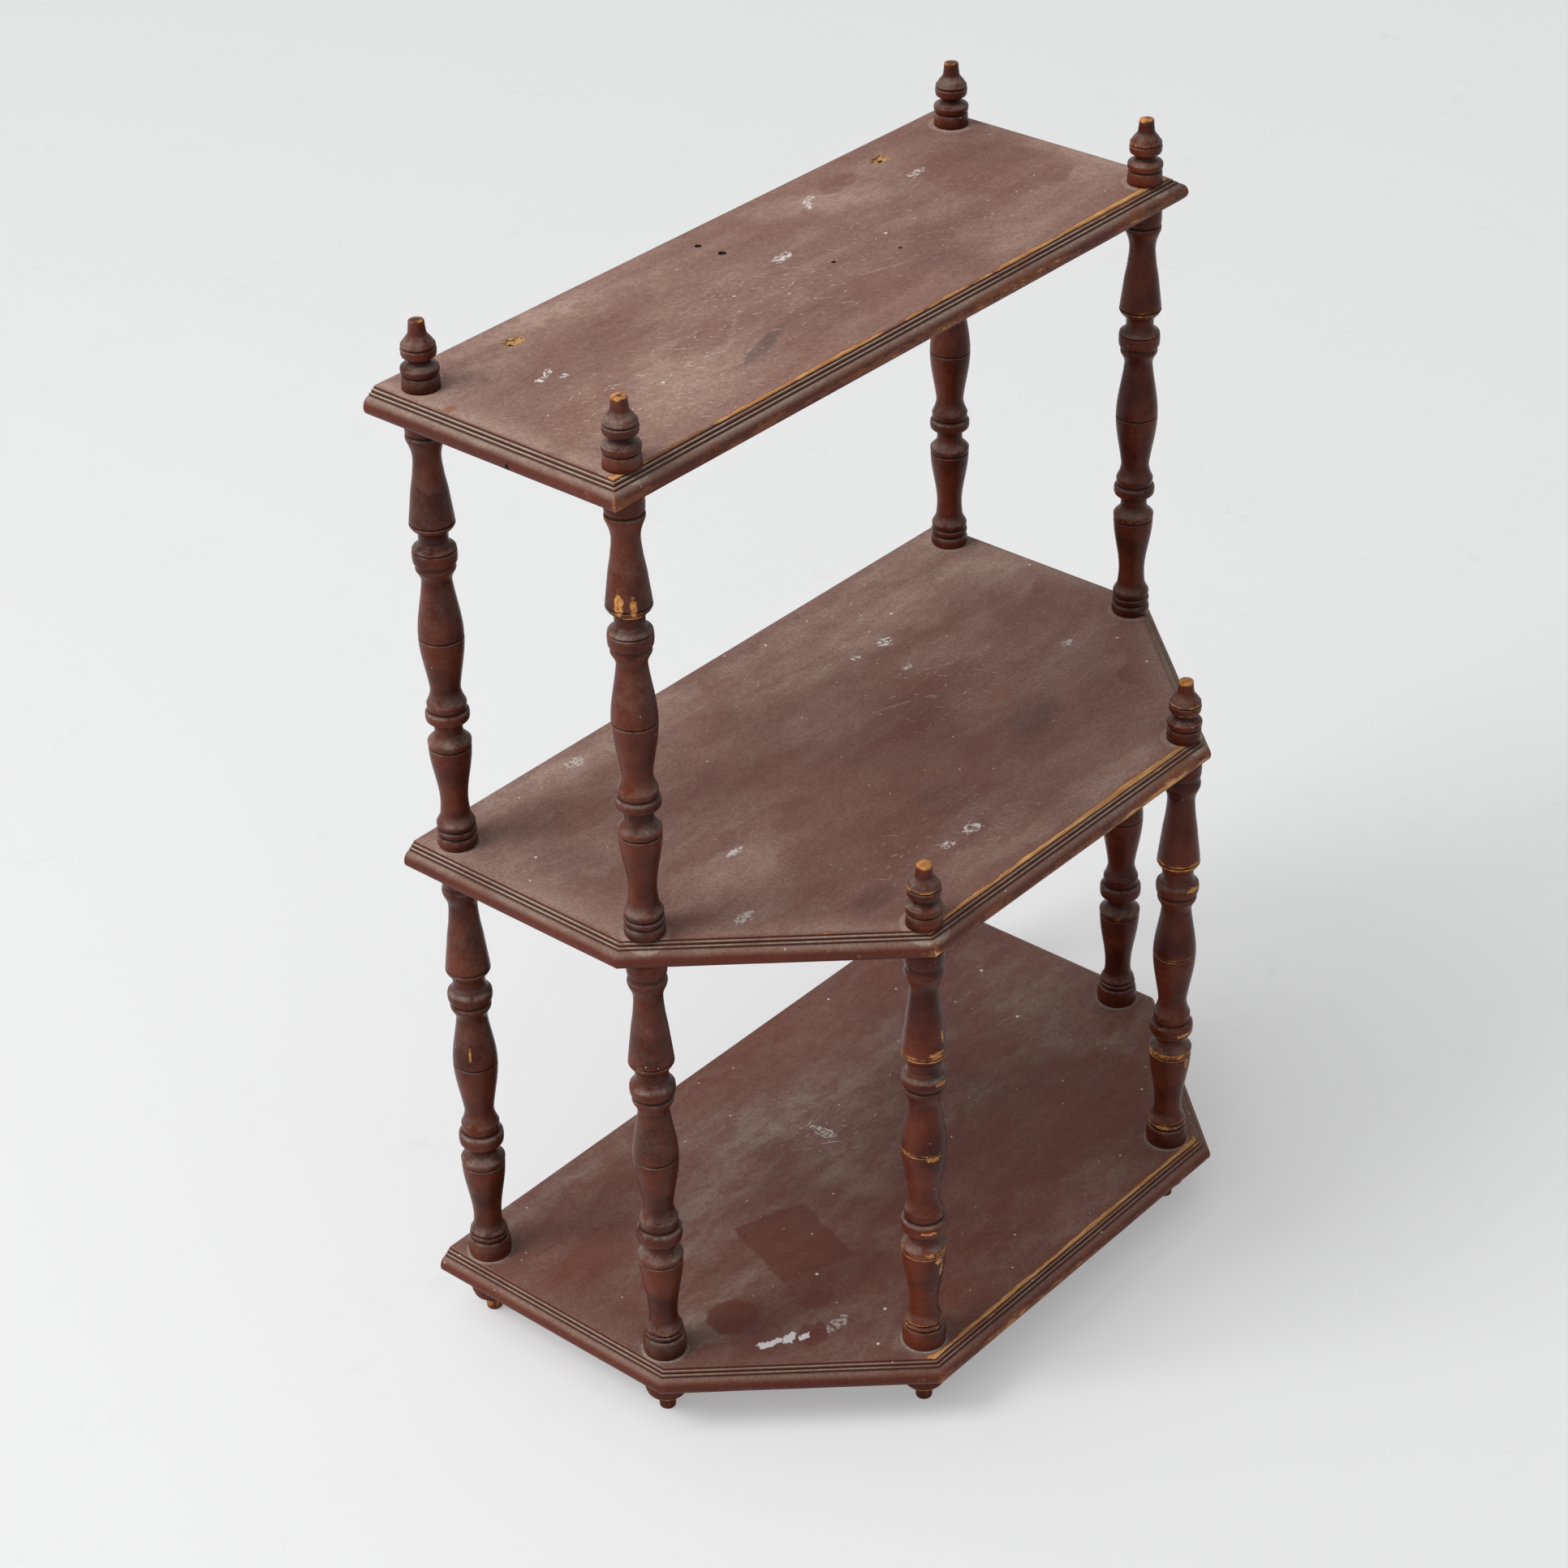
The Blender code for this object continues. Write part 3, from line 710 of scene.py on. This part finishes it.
def blur(values, sigma):
    half = max(1, int(math.ceil(3 * sigma)))
    kernel = np.exp(-0.5 * (np.arange(-half, half + 1) / sigma) ** 2)
    kernel /= kernel.sum()
    return np.convolve(np.pad(values, half, mode="edge"), kernel, mode="valid")


def thinOut(rows, keep, longest):  # drops points that lie on a straight run
    chosen = {0, len(rows) - 1}
    stack = [(0, len(rows) - 1)]
    while stack:
        first, last = stack.pop()
        if last - first < 2:
            continue
        run = rows[last] - rows[first]
        size = max(float(np.hypot(*run)), 1e-9)
        gap = rows[first + 1 : last] - rows[first]
        off = np.abs(gap[:, 0] * run[1] - gap[:, 1] * run[0]) / size
        worst = int(np.argmax(off))
        if off[worst] > keep or size > longest:
            middle = first + 1 + (worst if off[worst] > keep else (last - first) // 2 - 1)
            chosen.add(middle)
            stack += [(first, middle), (middle, last)]
    return sorted(chosen)


def turnedLine(stations, length):
    step = turningTool["sample"]
    grow = length / stations[-1][0]
    rows = [(0.0, stations[0][1])]
    previous = stations[0]
    for station in stations[1:]:
        run = math.hypot((station[0] - previous[0]) * grow, station[1] - previous[1])
        count = max(2, int(math.ceil(run / step)))
        start = (previous[0] * grow, previous[1])
        slopes = curves[station[2]] if len(station) > 2 else None
        rows += bendSpan(start, (station[0] * grow, station[1]), slopes, count)
        previous = station
    rows = np.array(rows)
    walk = np.concatenate(([0.0], np.cumsum(np.hypot(*np.diff(rows, axis=0).T))))
    even = np.linspace(0.0, walk[-1], int(walk[-1] / step) + 1)
    height = np.interp(even, walk, rows[:, 0])
    radius = np.interp(even, walk, rows[:, 1])
    radius = blur(radius, turningTool["soften"] / step)  # arrises and quirks lose their knife edge
    hollow = (blur(radius, turningTool["cavity"] / step) - radius) / turningTool["cavityDepth"]
    bowl = (blur(radius, turningTool["bowl"] / step) - radius) / turningTool["bowlDepth"]
    groove = np.maximum(np.clip(hollow, 0.0, 1.0), 0.5 * np.clip(bowl, 0.0, 1.0))
    rim = np.maximum(np.clip(-hollow, 0.0, 1.0), 0.4 * np.clip(-bowl, 0.0, 1.0))
    slope = np.gradient(radius) / np.hypot(np.gradient(radius), np.gradient(height))
    ledge = blur(np.clip(-slope, 0.0, 1.0), turningTool["ledge"] / step)  # where dust can lie
    line = np.stack((height, radius), axis=1)
    picked = thinOut(line, turningTool["keep"], turningTool["longest"])
    return line[picked], rim[picked], groove[picked], ledge[picked]


def latheTree():
    tree = bpy.data.node_groups.new("turnOnLathe", "GeometryNodeTree")
    for label, kind in (
        ("Geometry", "NodeSocketGeometry"),
        ("Segments", "NodeSocketInt"),
        ("Out of round", "NodeSocketFloat"),
        ("Turn", "NodeSocketFloat"),
        ("Seat", "NodeSocketVector"),
        ("Finish", "NodeSocketMaterial"),
    ):
        tree.interface.new_socket(label, in_out="INPUT", socket_type=kind)
    tree.interface.new_socket("Geometry", in_out="OUTPUT", socket_type="NodeSocketGeometry")
    given = addNode(tree, "NodeGroupInput").outputs
    rings = addNode(tree, "GeometryNodeAttributeDomainSize", {0: given["Geometry"]}).outputs["Point Count"]
    columns = calc("ADD", given["Segments"], 1.0)
    sheet = addNode(tree, "GeometryNodeMeshGrid", {"Vertices X": columns, "Vertices Y": rings})
    index = addNode(tree, "GeometryNodeInputIndex").outputs[0]
    ring = calc("MODULO", index, rings)
    segment = calc("FLOOR", calc("DIVIDE", index, rings))
    angle = times(calc("DIVIDE", segment, given["Segments"]), 2 * math.pi)

    def fromLine(kind, value):  # what the profile has at this ring
        node = addNode(tree, "GeometryNodeSampleIndex", data_type=kind, domain="POINT")
        tree.links.new(given["Geometry"], node.inputs["Geometry"])
        tree.links.new(value, next(s for s in node.inputs if s.name == "Value" and s.enabled))
        tree.links.new(ring, node.inputs["Index"])
        return next(s for s in node.outputs if s.enabled)

    spot = fromLine("FLOAT_VECTOR", addNode(tree, "GeometryNodeInputPosition").outputs[0])
    parts = axes(spot)
    sway = calc("SINE", calc("ADD", times(angle, 2.0), given["Turn"]))
    radius = times(parts["X"], scaled(sway, given["Out of round"], 1.0))
    across = [times(radius, calc(way, angle)) for way in ("COSINE", "SINE")]
    place = addNode(tree, "ShaderNodeCombineXYZ", {0: across[0], 1: across[1], 2: parts["Z"]})
    inputs = {"Geometry": sheet.outputs["Mesh"], "Position": place.outputs[0]}
    flow = addNode(tree, "GeometryNodeSetPosition", inputs)
    for label in ("wear", "groove", "settle"):
        named = addNode(tree, "GeometryNodeInputNamedAttribute", {"Name": label}, data_type="FLOAT")
        value = fromLine("FLOAT", named.outputs["Attribute"])
        inputs = {"Geometry": flow.outputs[0], "Name": label, "Value": value}
        settings = {"data_type": "FLOAT", "domain": "POINT"}
        flow = addNode(tree, "GeometryNodeStoreNamedAttribute", inputs, **settings)
    for kind, inputs in (
        ("MergeByDistance", {"Distance": 1e-6}),
        ("Transform", {"Translation": given["Seat"]}),
        ("SetShadeSmooth", {}),
        ("RealizeInstances", {}),
        ("SetMaterial", {"Material": given["Finish"]}),
    ):
        flow = addNode(tree, "GeometryNode" + kind, {"Geometry": flow.outputs[0], **inputs})
    addNode(tree, "NodeGroupOutput", {0: flow.outputs[0]})
    return tree


lathe = latheTree()


def outwards(mesh):
    edit = bmesh.new()
    edit.from_mesh(mesh)
    bmesh.ops.recalc_face_normals(edit, faces=edit.faces)
    edit.to_mesh(mesh)
    edit.free()


def standIn(piece, node):  # the piece takes its CAD node's place
    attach(piece, "root")
    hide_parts(node)


def turnPiece(node, piece, seat, length, finish, slotName, wearGain, film, tipWear=0.0):
    line, rim, groove, ledge = turnedLine(piece["line"], length / mm)
    # film is settled dust; on the side_left post it is partly painted light
    ledge = ledge + film
    worn = rim * wearGain
    if tipWear:
        rise = np.clip((line[:, 0] - length / mm) / piece["tip"] + 1.0, 0.0, 1.0)
        worn = np.maximum(worn, tipWear * rise)
    if "stub" in piece:
        worn = np.maximum(worn, piece["stubWear"] * (line[:, 0] < piece["stub"]))
    points = [(0.0, 0.0, line[0][0] * mm)]
    points += [(radius * mm, 0.0, height * mm) for height, radius in line]
    points.append((0.0, 0.0, line[-1][0] * mm))
    mesh = bpy.data.meshes.new(node + "_line")
    mesh.from_pydata(points, [(i, i + 1) for i in range(len(points) - 1)], [])
    for label, values in (("wear", worn), ("groove", groove), ("settle", ledge)):
        share = turningTool["endWear"] if label == "wear" else 1.0  # a flat end wears at its rim
        last = values[-1:] * share
        layer = mesh.attributes.new(label, "FLOAT", "POINT")
        layer.data.foreach_set("value", np.concatenate((values[:1], values, last)).astype(np.float32))
    blank = putInScene(node + "_blank", mesh)
    modifier = blank.modifiers.new("lathe", "NODES")
    modifier.node_group = lathe
    sockets = {item.name: item.identifier for item in lathe.interface.items_tree if item.in_out == "INPUT"}
    modifier[sockets["Segments"]] = piece["segments"]
    modifier[sockets["Out of round"]] = piece["outOfRound"]
    turnX, turnY = turningTool["turn"]
    modifier[sockets["Turn"]] = seat[0] * turnX + seat[1] * turnY
    modifier[sockets["Seat"]] = tuple(seat)
    modifier[sockets["Finish"]] = finish
    graph = bpy.context.evaluated_depsgraph_get()
    turned = bpy.data.meshes.new_from_object(blank.evaluated_get(graph), depsgraph=graph)
    bpy.data.objects.remove(blank)
    outwards(turned)
    standIn(putInScene(node + "_turned", turned), node)


seam = 0.3 * mm  # glue gap at every seat
postLook = {  # wear on the post, settled dust (on side_left set high partly as painted light, to make that post lighter), wear on its finial's tip
    "front_left": (1.20, 0.02, 2.2),
    "front_right": (1.28, 0.0, 2.0),
    "side_left": (0.80, 0.18, 1.35),
    "side_right": (0.90, 0.0, 1.1),
    "back_left": (0.62, 0.17, 1.0),
    "back_right": (0.66, 0.10, 1.1),
}


for name in postNames:
    x, y = posts[name]
    rubbed, dusted, tipRubbed = postLook[name]
    finish = (turnedWood, "turned_wood", rubbed, dusted)
    foot = shelfTop["bottom"] - board - seam
    turnPiece("foot_" + name, bunFoot, (x, y, 0.0), foot, footWood, "foot_wood", rubbed, 0.0)
    low = shelfTop["bottom"] + seam
    tall = shelfTop["middle"] - board - seam - low
    turnPiece("spindle_lower_" + name, lowerSpindle, (x, y, low), tall, *finish)
    crown = shelfTop["middle"]
    if name in tallPosts:
        low = shelfTop["middle"] + seam
        tall = shelfTop["top"] - board - seam - low
        turnPiece("spindle_upper_" + name, upperSpindle, (x, y, low), tall, *finish)
        crown = shelfTop["top"]
    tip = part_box("finial_" + name)[1][2]
    low = crown + seam
    turnPiece("finial_" + name, finial, (x, y, low), tip - low, *finish, tipRubbed)
print("stage: turned pieces made")


# Shelf boards: how far the moulding's arris lies outside the post centres, in mm
shelfBoard = {
    "margins": {
        "back": {"top": 22.0, "middle": 22.0, "bottom": 22.0},
        "side": {"top": 14.3, "middle": 14.3, "bottom": 14.3},
        "front": {"top": 7.0, "middle": 6.2, "bottom": 16.5},
        "cant": {"top": 0.0, "middle": 6.8, "bottom": 18.5},
    },
    "rubbed": {"back": 0.30, "side": 0.40, "cant": 0.42, "front": 1.0},
    "dusted": {"back": 0.8, "side": 1.2, "cant": 1.0, "front": 0.34},
    "treadDust": 0.90,
    "faceDust": {"top": 1.0, "middle": 0.9, "bottom": 0.40},
    "frontRun": {"top": (0.86, 1.14), "middle": (1.02, 1.22), "bottom": (0.90, 1.16)},  # left to right
    "cornerRub": 0.36,
    "cornerReach": 9.0,
    "spacing": 5.0,
    "faceEnds": -2,
    "treadStarts": 0.5,
    "wander": 0.12,
    "wanderScale": 30,
    "chip": 0.45,
    "chipScale": 95,
    "chipAbove": 0.35,
    "crease": 42,
    "drawn": 15.2,  # the thickness that the moulding is drawn for
    "nose": {"out": 4.5, "down": 4.42, "reach": 4.5, "drop": 6.4, "steps": 10},
}


def mouldingStations():  # reach, drop, wear, groove, settled dust, from the top face outwards and down
    rows = [
        (-60.0, 0.0, 0.0, 0.0, 0.0), (-42.0, 0.0, 0.0, 0.0, 0.10), (-27.0, 0.0, 0.0, 0.0, 0.26),
        (-15.0, 0.0, 0.0, 0.0, 0.48), (-7.0, 0.0, 0.0, 0.0, 0.66), (-3.4, 0.0, 0.35, 0.0, 0.74),
        (-2.0, 0.0, 0.86, 0.0, 0.70), (-1.2, 0.02, 1.12, 0.0, 0.6), (-0.3, 0.10, 1.22, 0.0, 0.4),
        (0.12, 0.45, 1.16, 0.0, 0.2), (0.26, 0.95, 0.66, 0.2, 0.2), (0.36, 1.45, 0.0, 0.85, 0.2),
        (0.60, 1.68, 0.0, 0.80, 0.5), (0.85, 1.55, 0.2, 0.1, 0.9), (1.20, 1.42, 0.50, 0.0, 1.0),
        (1.60, 1.45, 0.66, 0.0, 1.0), (1.95, 1.68, 0.70, 0.0, 0.8), (2.15, 2.20, 0.40, 0.1, 0.3),
        (2.25, 2.80, 0.0, 0.7, 0.2), (2.42, 3.25, 0.0, 0.85, 0.3), (2.70, 3.22, 0.1, 0.4, 0.8),
        (3.05, 3.02, 0.35, 0.0, 1.0), (3.50, 3.00, 0.50, 0.0, 1.0), (3.90, 3.22, 0.50, 0.0, 0.8),
        (4.10, 3.70, 0.2, 0.2, 0.4), (4.20, 4.25, 0.0, 0.85, 0.2), (4.42, 4.55, 0.0, 0.80, 0.4),
    ]
    nose = shelfBoard["nose"]
    for step in range(1, nose["steps"] + 1):
        angle = math.radians(90 * step / nose["steps"])
        out = nose["out"] + nose["reach"] * math.sin(angle)
        down = nose["down"] + nose["drop"] * (1 - math.cos(angle))
        rows.append((out, down, 0.38 + 0.038 * step, 0.0, 0.56 - 0.05 * step))
    rows += [(8.9, 11.6, 0.70, 0.0, 0.0), (8.55, 12.6, 0.70, 0.0, 0.0), (7.7, 13.8, 0.52, 0.0, 0.0)]
    return rows + [(6.9, 14.5, 0.3, 0.0, 0.0), (5.8, 15.2, 0.1, 0.0, 0.0)]


def boardEdges(tier):  # the edges in order round the board: a point, its outward side, and its kind
    left, right = posts["side_left"], posts["side_right"]
    back = (posts["back_left"], Vector((0, 1)), "back")
    ends = ((left, Vector((-1, 0)), "side"), (right, Vector((1, 0)), "side"))
    if tier == "top":
        return [back, ends[0], (left, Vector((0, -1)), "front"), ends[1]]
    run = posts["front_left"] - left
    cant = Vector((run.y, -run.x)).normalized()
    front = (posts["front_left"], Vector((0, -1)), "front")
    cants = ((left, cant, "cant"), (right, Vector((-cant.x, cant.y)), "cant"))
    return [back, ends[0], cants[0], front, cants[1], ends[1]]


def boardCorners(tier, reach):
    rows = []
    for point, side, kind in boardEdges(tier):
        out = shelfBoard["margins"][kind][tier]
        out += min(reach, 0.0) if kind == "back" else reach
        rows.append((side, side.dot(point) + out * mm))
    corners = []
    for (sideA, offA), (sideB, offB) in zip(rows[-1:] + rows[:-1], rows):
        cross = sideA.x * sideB.y - sideA.y * sideB.x
        x = (offA * sideB.y - offB * sideA.y) / cross
        y = (sideA.x * offB - sideB.x * offA) / cross
        corners.append(Vector((x, y)))
    return corners


def buildBoard(tier):
    edges = boardEdges(tier)
    stations = mouldingStations()
    counts = []
    arris = boardCorners(tier, 0.0)
    for corner, ahead in zip(arris, arris[1:] + arris[:1]):
        counts.append(max(2, int((ahead - corner).length / mm / shelfBoard["spacing"])))
    edit = bmesh.new()
    layers = [edit.verts.layers.float.new(label) for label in ("wear", "groove", "settle")]
    rings = []
    for reach, drop, wear, groove, settle in stations:
        corners = boardCorners(tier, reach)
        ring = []
        for i, (point, side, kind) in enumerate(edges):
            before = edges[i - 1][2]
            after = edges[(i + 1) % len(edges)][2]
            ahead = corners[(i + 1) % len(corners)]
            for step in range(counts[i]):
                spot = corners[i].lerp(ahead, step / counts[i])
                fine = shelfBoard["wanderScale"]
                here = Vector((spot.x * fine, spot.y * fine, reach * 0.1 + drop * 0.12))
                wander = noise.noise(here) * shelfBoard["wander"]
                fine = shelfBoard["chipScale"]
                here = Vector((spot.x * fine, spot.y * fine, drop * 0.2 + 7))
                dent = max(0.0, noise.noise(here) - shelfBoard["chipAbove"])
                dent *= shelfBoard["chip"] * wear * shelfBoard["rubbed"][kind]
                if kind == "back" or reach < shelfBoard["faceEnds"]:
                    wander = dent = 0.0
                spot = spot + side * (wander - dent) * mm
                down = drop * mm * board / (shelfBoard["drawn"] * mm)
                vert = edit.verts.new((spot.x, spot.y, shelfTop[tier] - down))
                rub = shelfBoard["rubbed"][kind]
                if kind == "front":
                    start, end = shelfBoard["frontRun"][tier]
                    rub *= start + (end - start) * step / counts[i]
                if step == 0:
                    rub = max(rub, shelfBoard["rubbed"][before])
                for corner, sides in ((corners[i], (before, kind)), (ahead, (kind, after))):
                    if "back" not in sides and "front" in sides:
                        near = (spot - corner).length / mm / shelfBoard["cornerReach"]
                        rub += shelfBoard["cornerRub"] * max(0.0, 1.0 - near)
                dusted = shelfBoard["dusted"][kind]
                if reach > shelfBoard["treadStarts"]:
                    dusted = max(dusted, shelfBoard["treadDust"])
                else:
                    dusted *= shelfBoard["faceDust"][tier]
                cut = 0.0 if kind == "back" else groove
                for layer, value in zip(layers, (wear * rub, cut, settle * dusted)):
                    vert[layer] = value
                ring.append(vert)
        rings.append(ring)
    size = len(rings[0])
    for upper, lower in zip(rings, rings[1:]):
        for i in range(size):
            j = (i + 1) % size
            edit.faces.new((upper[i], lower[i], lower[j], upper[j]))
    edit.faces.new(rings[0])
    edit.faces.new(list(reversed(rings[-1])))
    bmesh.ops.recalc_face_normals(edit, faces=edit.faces)
    mesh = bpy.data.meshes.new("shelf_" + tier)
    edit.to_mesh(mesh)
    edit.free()
    mesh.materials.append(boardWood[tier])
    return putInScene("shelf_" + tier + "_board", mesh)


# Holes in the top board: nail holes, two screw seats broken out of the face, a notch in the left nose
topHoles = {
    "nails": ((-1.8, 3.2, 2.7), (-0.6, -14.5, 2.9), (29.4, -73.1, 1.7), (68.0, -91.1, 1.6)),
    "nailDepth": 9.0,
    "seats": ((-160.5, 0.0, 1.0), (160.5, 0.0, -1.0)),
    "seatSize": (7.2, 4.4, 1.7),
    "screw": (1.5, 1.9, 1.4, 8.0),  # off the seat's middle, mouth, end, depth
    "notch": (-85.0, 3.0, 1.9, 9.0),  # along the left edge, width, depth, start below the face
    "notchHalf": 5.0,
    "notchTurn": 12,
}


def cutterMesh():
    edit = bmesh.new()
    top = shelfTop["top"]

    # faces of the holes and the notch take the painted-shade material
    def shadeInside(verts):
        for vert in verts:
            for face in vert.link_faces:
                face.material_index = 1

    def drill(x, y, mouth, end, depth):
        sizes = {"radius1": end * mm, "radius2": mouth * mm, "depth": 2 * depth * mm}
        hole = bmesh.ops.create_cone(edit, cap_ends=True, segments=22, **sizes)["verts"]
        for vert in hole:
            rag = 1.0 + 0.40 * noise.noise(Vector((vert.co.x / mm * 0.7, vert.co.y / mm * 0.7, x)))
            wide, deep = vert.co.x * rag, vert.co.y * rag
            vert.co = Vector((wide + x * mm, deep + backLine + y * mm, vert.co.z + top))
        shadeInside(hole)

    for x, y, radius in topHoles["nails"]:
        drill(x, y, radius, radius * 0.7, topHoles["nailDepth"])
    for x, y, lean in topHoles["seats"]:
        ball = bmesh.ops.create_icosphere(edit, subdivisions=4, radius=1.0)["verts"]
        for vert in ball:
            rag = 1.0 + 0.32 * noise.noise(vert.co * 2.3 + Vector((x, 0, 3)))
            rag += 0.16 * noise.noise(Vector((vert.co.x * 3, vert.co.y * 9, x)))
            wide, deep, high = topHoles["seatSize"]
            rise = vert.co.z * high * (0.8 + 0.4 * rag)
            co = Vector((vert.co.x * wide * rag, vert.co.y * deep * rag, rise))
            vert.co = Vector((x * mm, backLine + y * mm, top)) + co * mm
        aside, *hole = topHoles["screw"]
        drill(x - aside * lean, y, *hole)
    along, wide, deep, start = topHoles["notch"]
    half = topHoles["notchHalf"]
    nose = shelfBoard["nose"]["out"] + shelfBoard["nose"]["reach"]
    side = boardCorners("top", nose)[1].x
    wedge = Matrix.Translation((side, backLine + along * mm, top - (start + half) * mm))
    wedge = wedge @ Matrix.Rotation(math.radians(topHoles["notchTurn"]), 4, "X")
    wedge = wedge @ Matrix.Diagonal((deep * mm, wide / 2 * mm, half * mm, 1))
    made = bmesh.ops.create_icosphere(edit, subdivisions=3, radius=1.0, matrix=wedge)
    shadeInside(made["verts"])
    mesh = bpy.data.meshes.new("topHoles")
    bmesh.ops.recalc_face_normals(edit, faces=edit.faces)
    edit.to_mesh(mesh)
    edit.free()
    mesh.materials.append(rawWood)
    mesh.materials.append(holeShadeWood)
    return putInScene("topHoles", mesh)


def cutHoles(piece):
    cutter = cutterMesh()
    modifier = piece.modifiers.new("holes", "BOOLEAN")
    modifier.operation = "DIFFERENCE"
    modifier.solver = "EXACT"
    modifier.use_self = True
    modifier.material_mode = "TRANSFER"
    modifier.object = cutter
    graph = bpy.context.evaluated_depsgraph_get()
    mesh = bpy.data.meshes.new_from_object(piece.evaluated_get(graph), depsgraph=graph)
    piece.modifiers.clear()
    piece.data = mesh
    bpy.data.objects.remove(cutter)


for tier in tiers:
    piece = buildBoard(tier)
    if tier == "top":
        cutHoles(piece)
    piece.data.polygons.foreach_set("use_smooth", [True] * len(piece.data.polygons))
    piece.data.set_sharp_from_angle(angle=math.radians(shelfBoard["crease"]))
    standIn(piece, "shelf_" + tier)
print("stage: shelves made")


# Studio: pale floor, soft light, the photograph's camera
studio = {
    "floor": (0.87, 0.87, 0.87, 1),
    "floorScuff": (0.72, 0.72, 0.715, 1),
    "floorSize": 7.0,
    "floorRough": 0.7,
    "floorShine": 0.2,
    "sky": (0.99, 0.995, 1.0, 1),
    "skyLow": 0.15,
    "skyHigh": 1.16,
    "skyTurn": (-0.60, 0.26, 0.76),  # where the soft light is brightest
    "skyFall": 1.5,
    "backdrop": (0.83, 0.835, 0.84, 1),
    "keyPlace": (-2.6, 1.2, 3.2),
    "keySize": 1.7,
    "keyPower": 84.0,
    "keyAim": (0, 0, 0.35),
    "floorLift": 0.38,  # how far the floor's shadow is lightened for the camera
}


def shownPlain(tree):  # the camera, reflections and glass all see the plain background
    path = addNode(tree, "ShaderNodeLightPath").outputs
    return highest(path["Is Camera Ray"], path["Is Glossy Ray"], path["Is Transmission Ray"])


def layFloor():
    half = studio["floorSize"]
    mesh = bpy.data.meshes.new("floor")
    corners = [(-half, -half, 0), (half, -half, 0), (half, half, 0), (-half, half, 0)]
    mesh.from_pydata(corners, [], [(0, 1, 2, 3)])
    material, tree = blankMaterial("paleFloor")
    place = addNode(tree, "ShaderNodeTexCoord").outputs["Object"]
    scuff = times(
        stretch(grainNoise(place, 9.0, 8.0, 0.62), 0.50, 0.80),
        stretch(grainNoise(place, 60.0, 5.0, 0.7), 0.45, 0.75),
    )
    colour = tint(scuff, studio["floor"], studio["floorScuff"])
    inputs = {"Base Color": colour, "Roughness": studio["floorRough"]}
    shader = addNode(tree, "ShaderNodeBsdfPrincipled", inputs)
    shader.inputs["Specular IOR Level"].default_value = studio["floorShine"]
    plain = addNode(tree, "ShaderNodeEmission", {"Color": studio["backdrop"], "Strength": 1.0})
    lift = times(shownPlain(tree), studio["floorLift"])
    both = addNode(tree, "ShaderNodeMixShader", {0: lift, 1: shader.outputs[0], 2: plain.outputs[0]})
    addNode(tree, "ShaderNodeOutputMaterial", {0: both.outputs[0]})
    mesh.materials.append(material)
    putInScene("floor", mesh)


def lightStudio():
    world = bpy.data.worlds.new("studioSky")
    world.use_nodes = True
    tree = world.node_tree
    tree.nodes.clear()
    way = addNode(tree, "ShaderNodeTexCoord").outputs["Generated"]
    lean = vectorCalc("DOT_PRODUCT", way, studio["skyTurn"])
    glow = calc("POWER", highest(lean, 0.0), studio["skyFall"])
    level = scaled(glow, studio["skyHigh"], studio["skyLow"])
    soft = addNode(tree, "ShaderNodeBackground", {"Color": studio["sky"], "Strength": level})
    seen = addNode(tree, "ShaderNodeBackground", {"Color": studio["backdrop"], "Strength": 1.0})
    shaders = {1: soft.outputs[0], 2: seen.outputs[0]}
    both = addNode(tree, "ShaderNodeMixShader", {0: shownPlain(tree), **shaders})
    addNode(tree, "ShaderNodeOutputWorld", {0: both.outputs[0]})
    bpy.context.scene.world = world
    lamp = bpy.data.lights.new("softBox", "AREA")
    lamp.shape = "SQUARE"
    lamp.size = studio["keySize"]
    lamp.energy = studio["keyPower"]
    holder = putInScene("softBox", lamp)
    holder.location = studio["keyPlace"]
    aim = Vector(studio["keyAim"]) - holder.location
    holder.rotation_euler = aim.to_track_quat("-Z", "Y").to_euler()


def placeCamera():
    azimuth, elevation, roll = view["azimuth"], view["elevation"], view["roll"]
    level = math.cos(elevation)
    back = Vector((math.sin(azimuth) * level, -math.cos(azimuth) * level, math.sin(elevation)))
    right = (-back).cross(Vector((0, 0, 1))).normalized()
    up = right.cross(-back)
    sideways = right * math.cos(roll) + up * math.sin(roll)
    upwards = up * math.cos(roll) - right * math.sin(roll)
    lens = bpy.data.cameras.new("camera")
    lens.sensor_width = view["sensor"]
    lens.lens = view["lens"]
    lens.clip_start = 0.05
    lens.clip_end = 60.0
    camera = putInScene("camera", lens)
    stand = Vector(view["stand"]) + Vector((0.0, backLine, shelfTop["bottom"]))
    turn = Matrix((sideways, upwards, back)).transposed().to_4x4()
    camera.matrix_world = Matrix.Translation(stand) @ turn
    bpy.context.scene.camera = camera


layFloor()
lightStudio()
placeCamera()
bpy.context.scene.view_settings.view_transform = "Standard"
print("stage: studio ready")
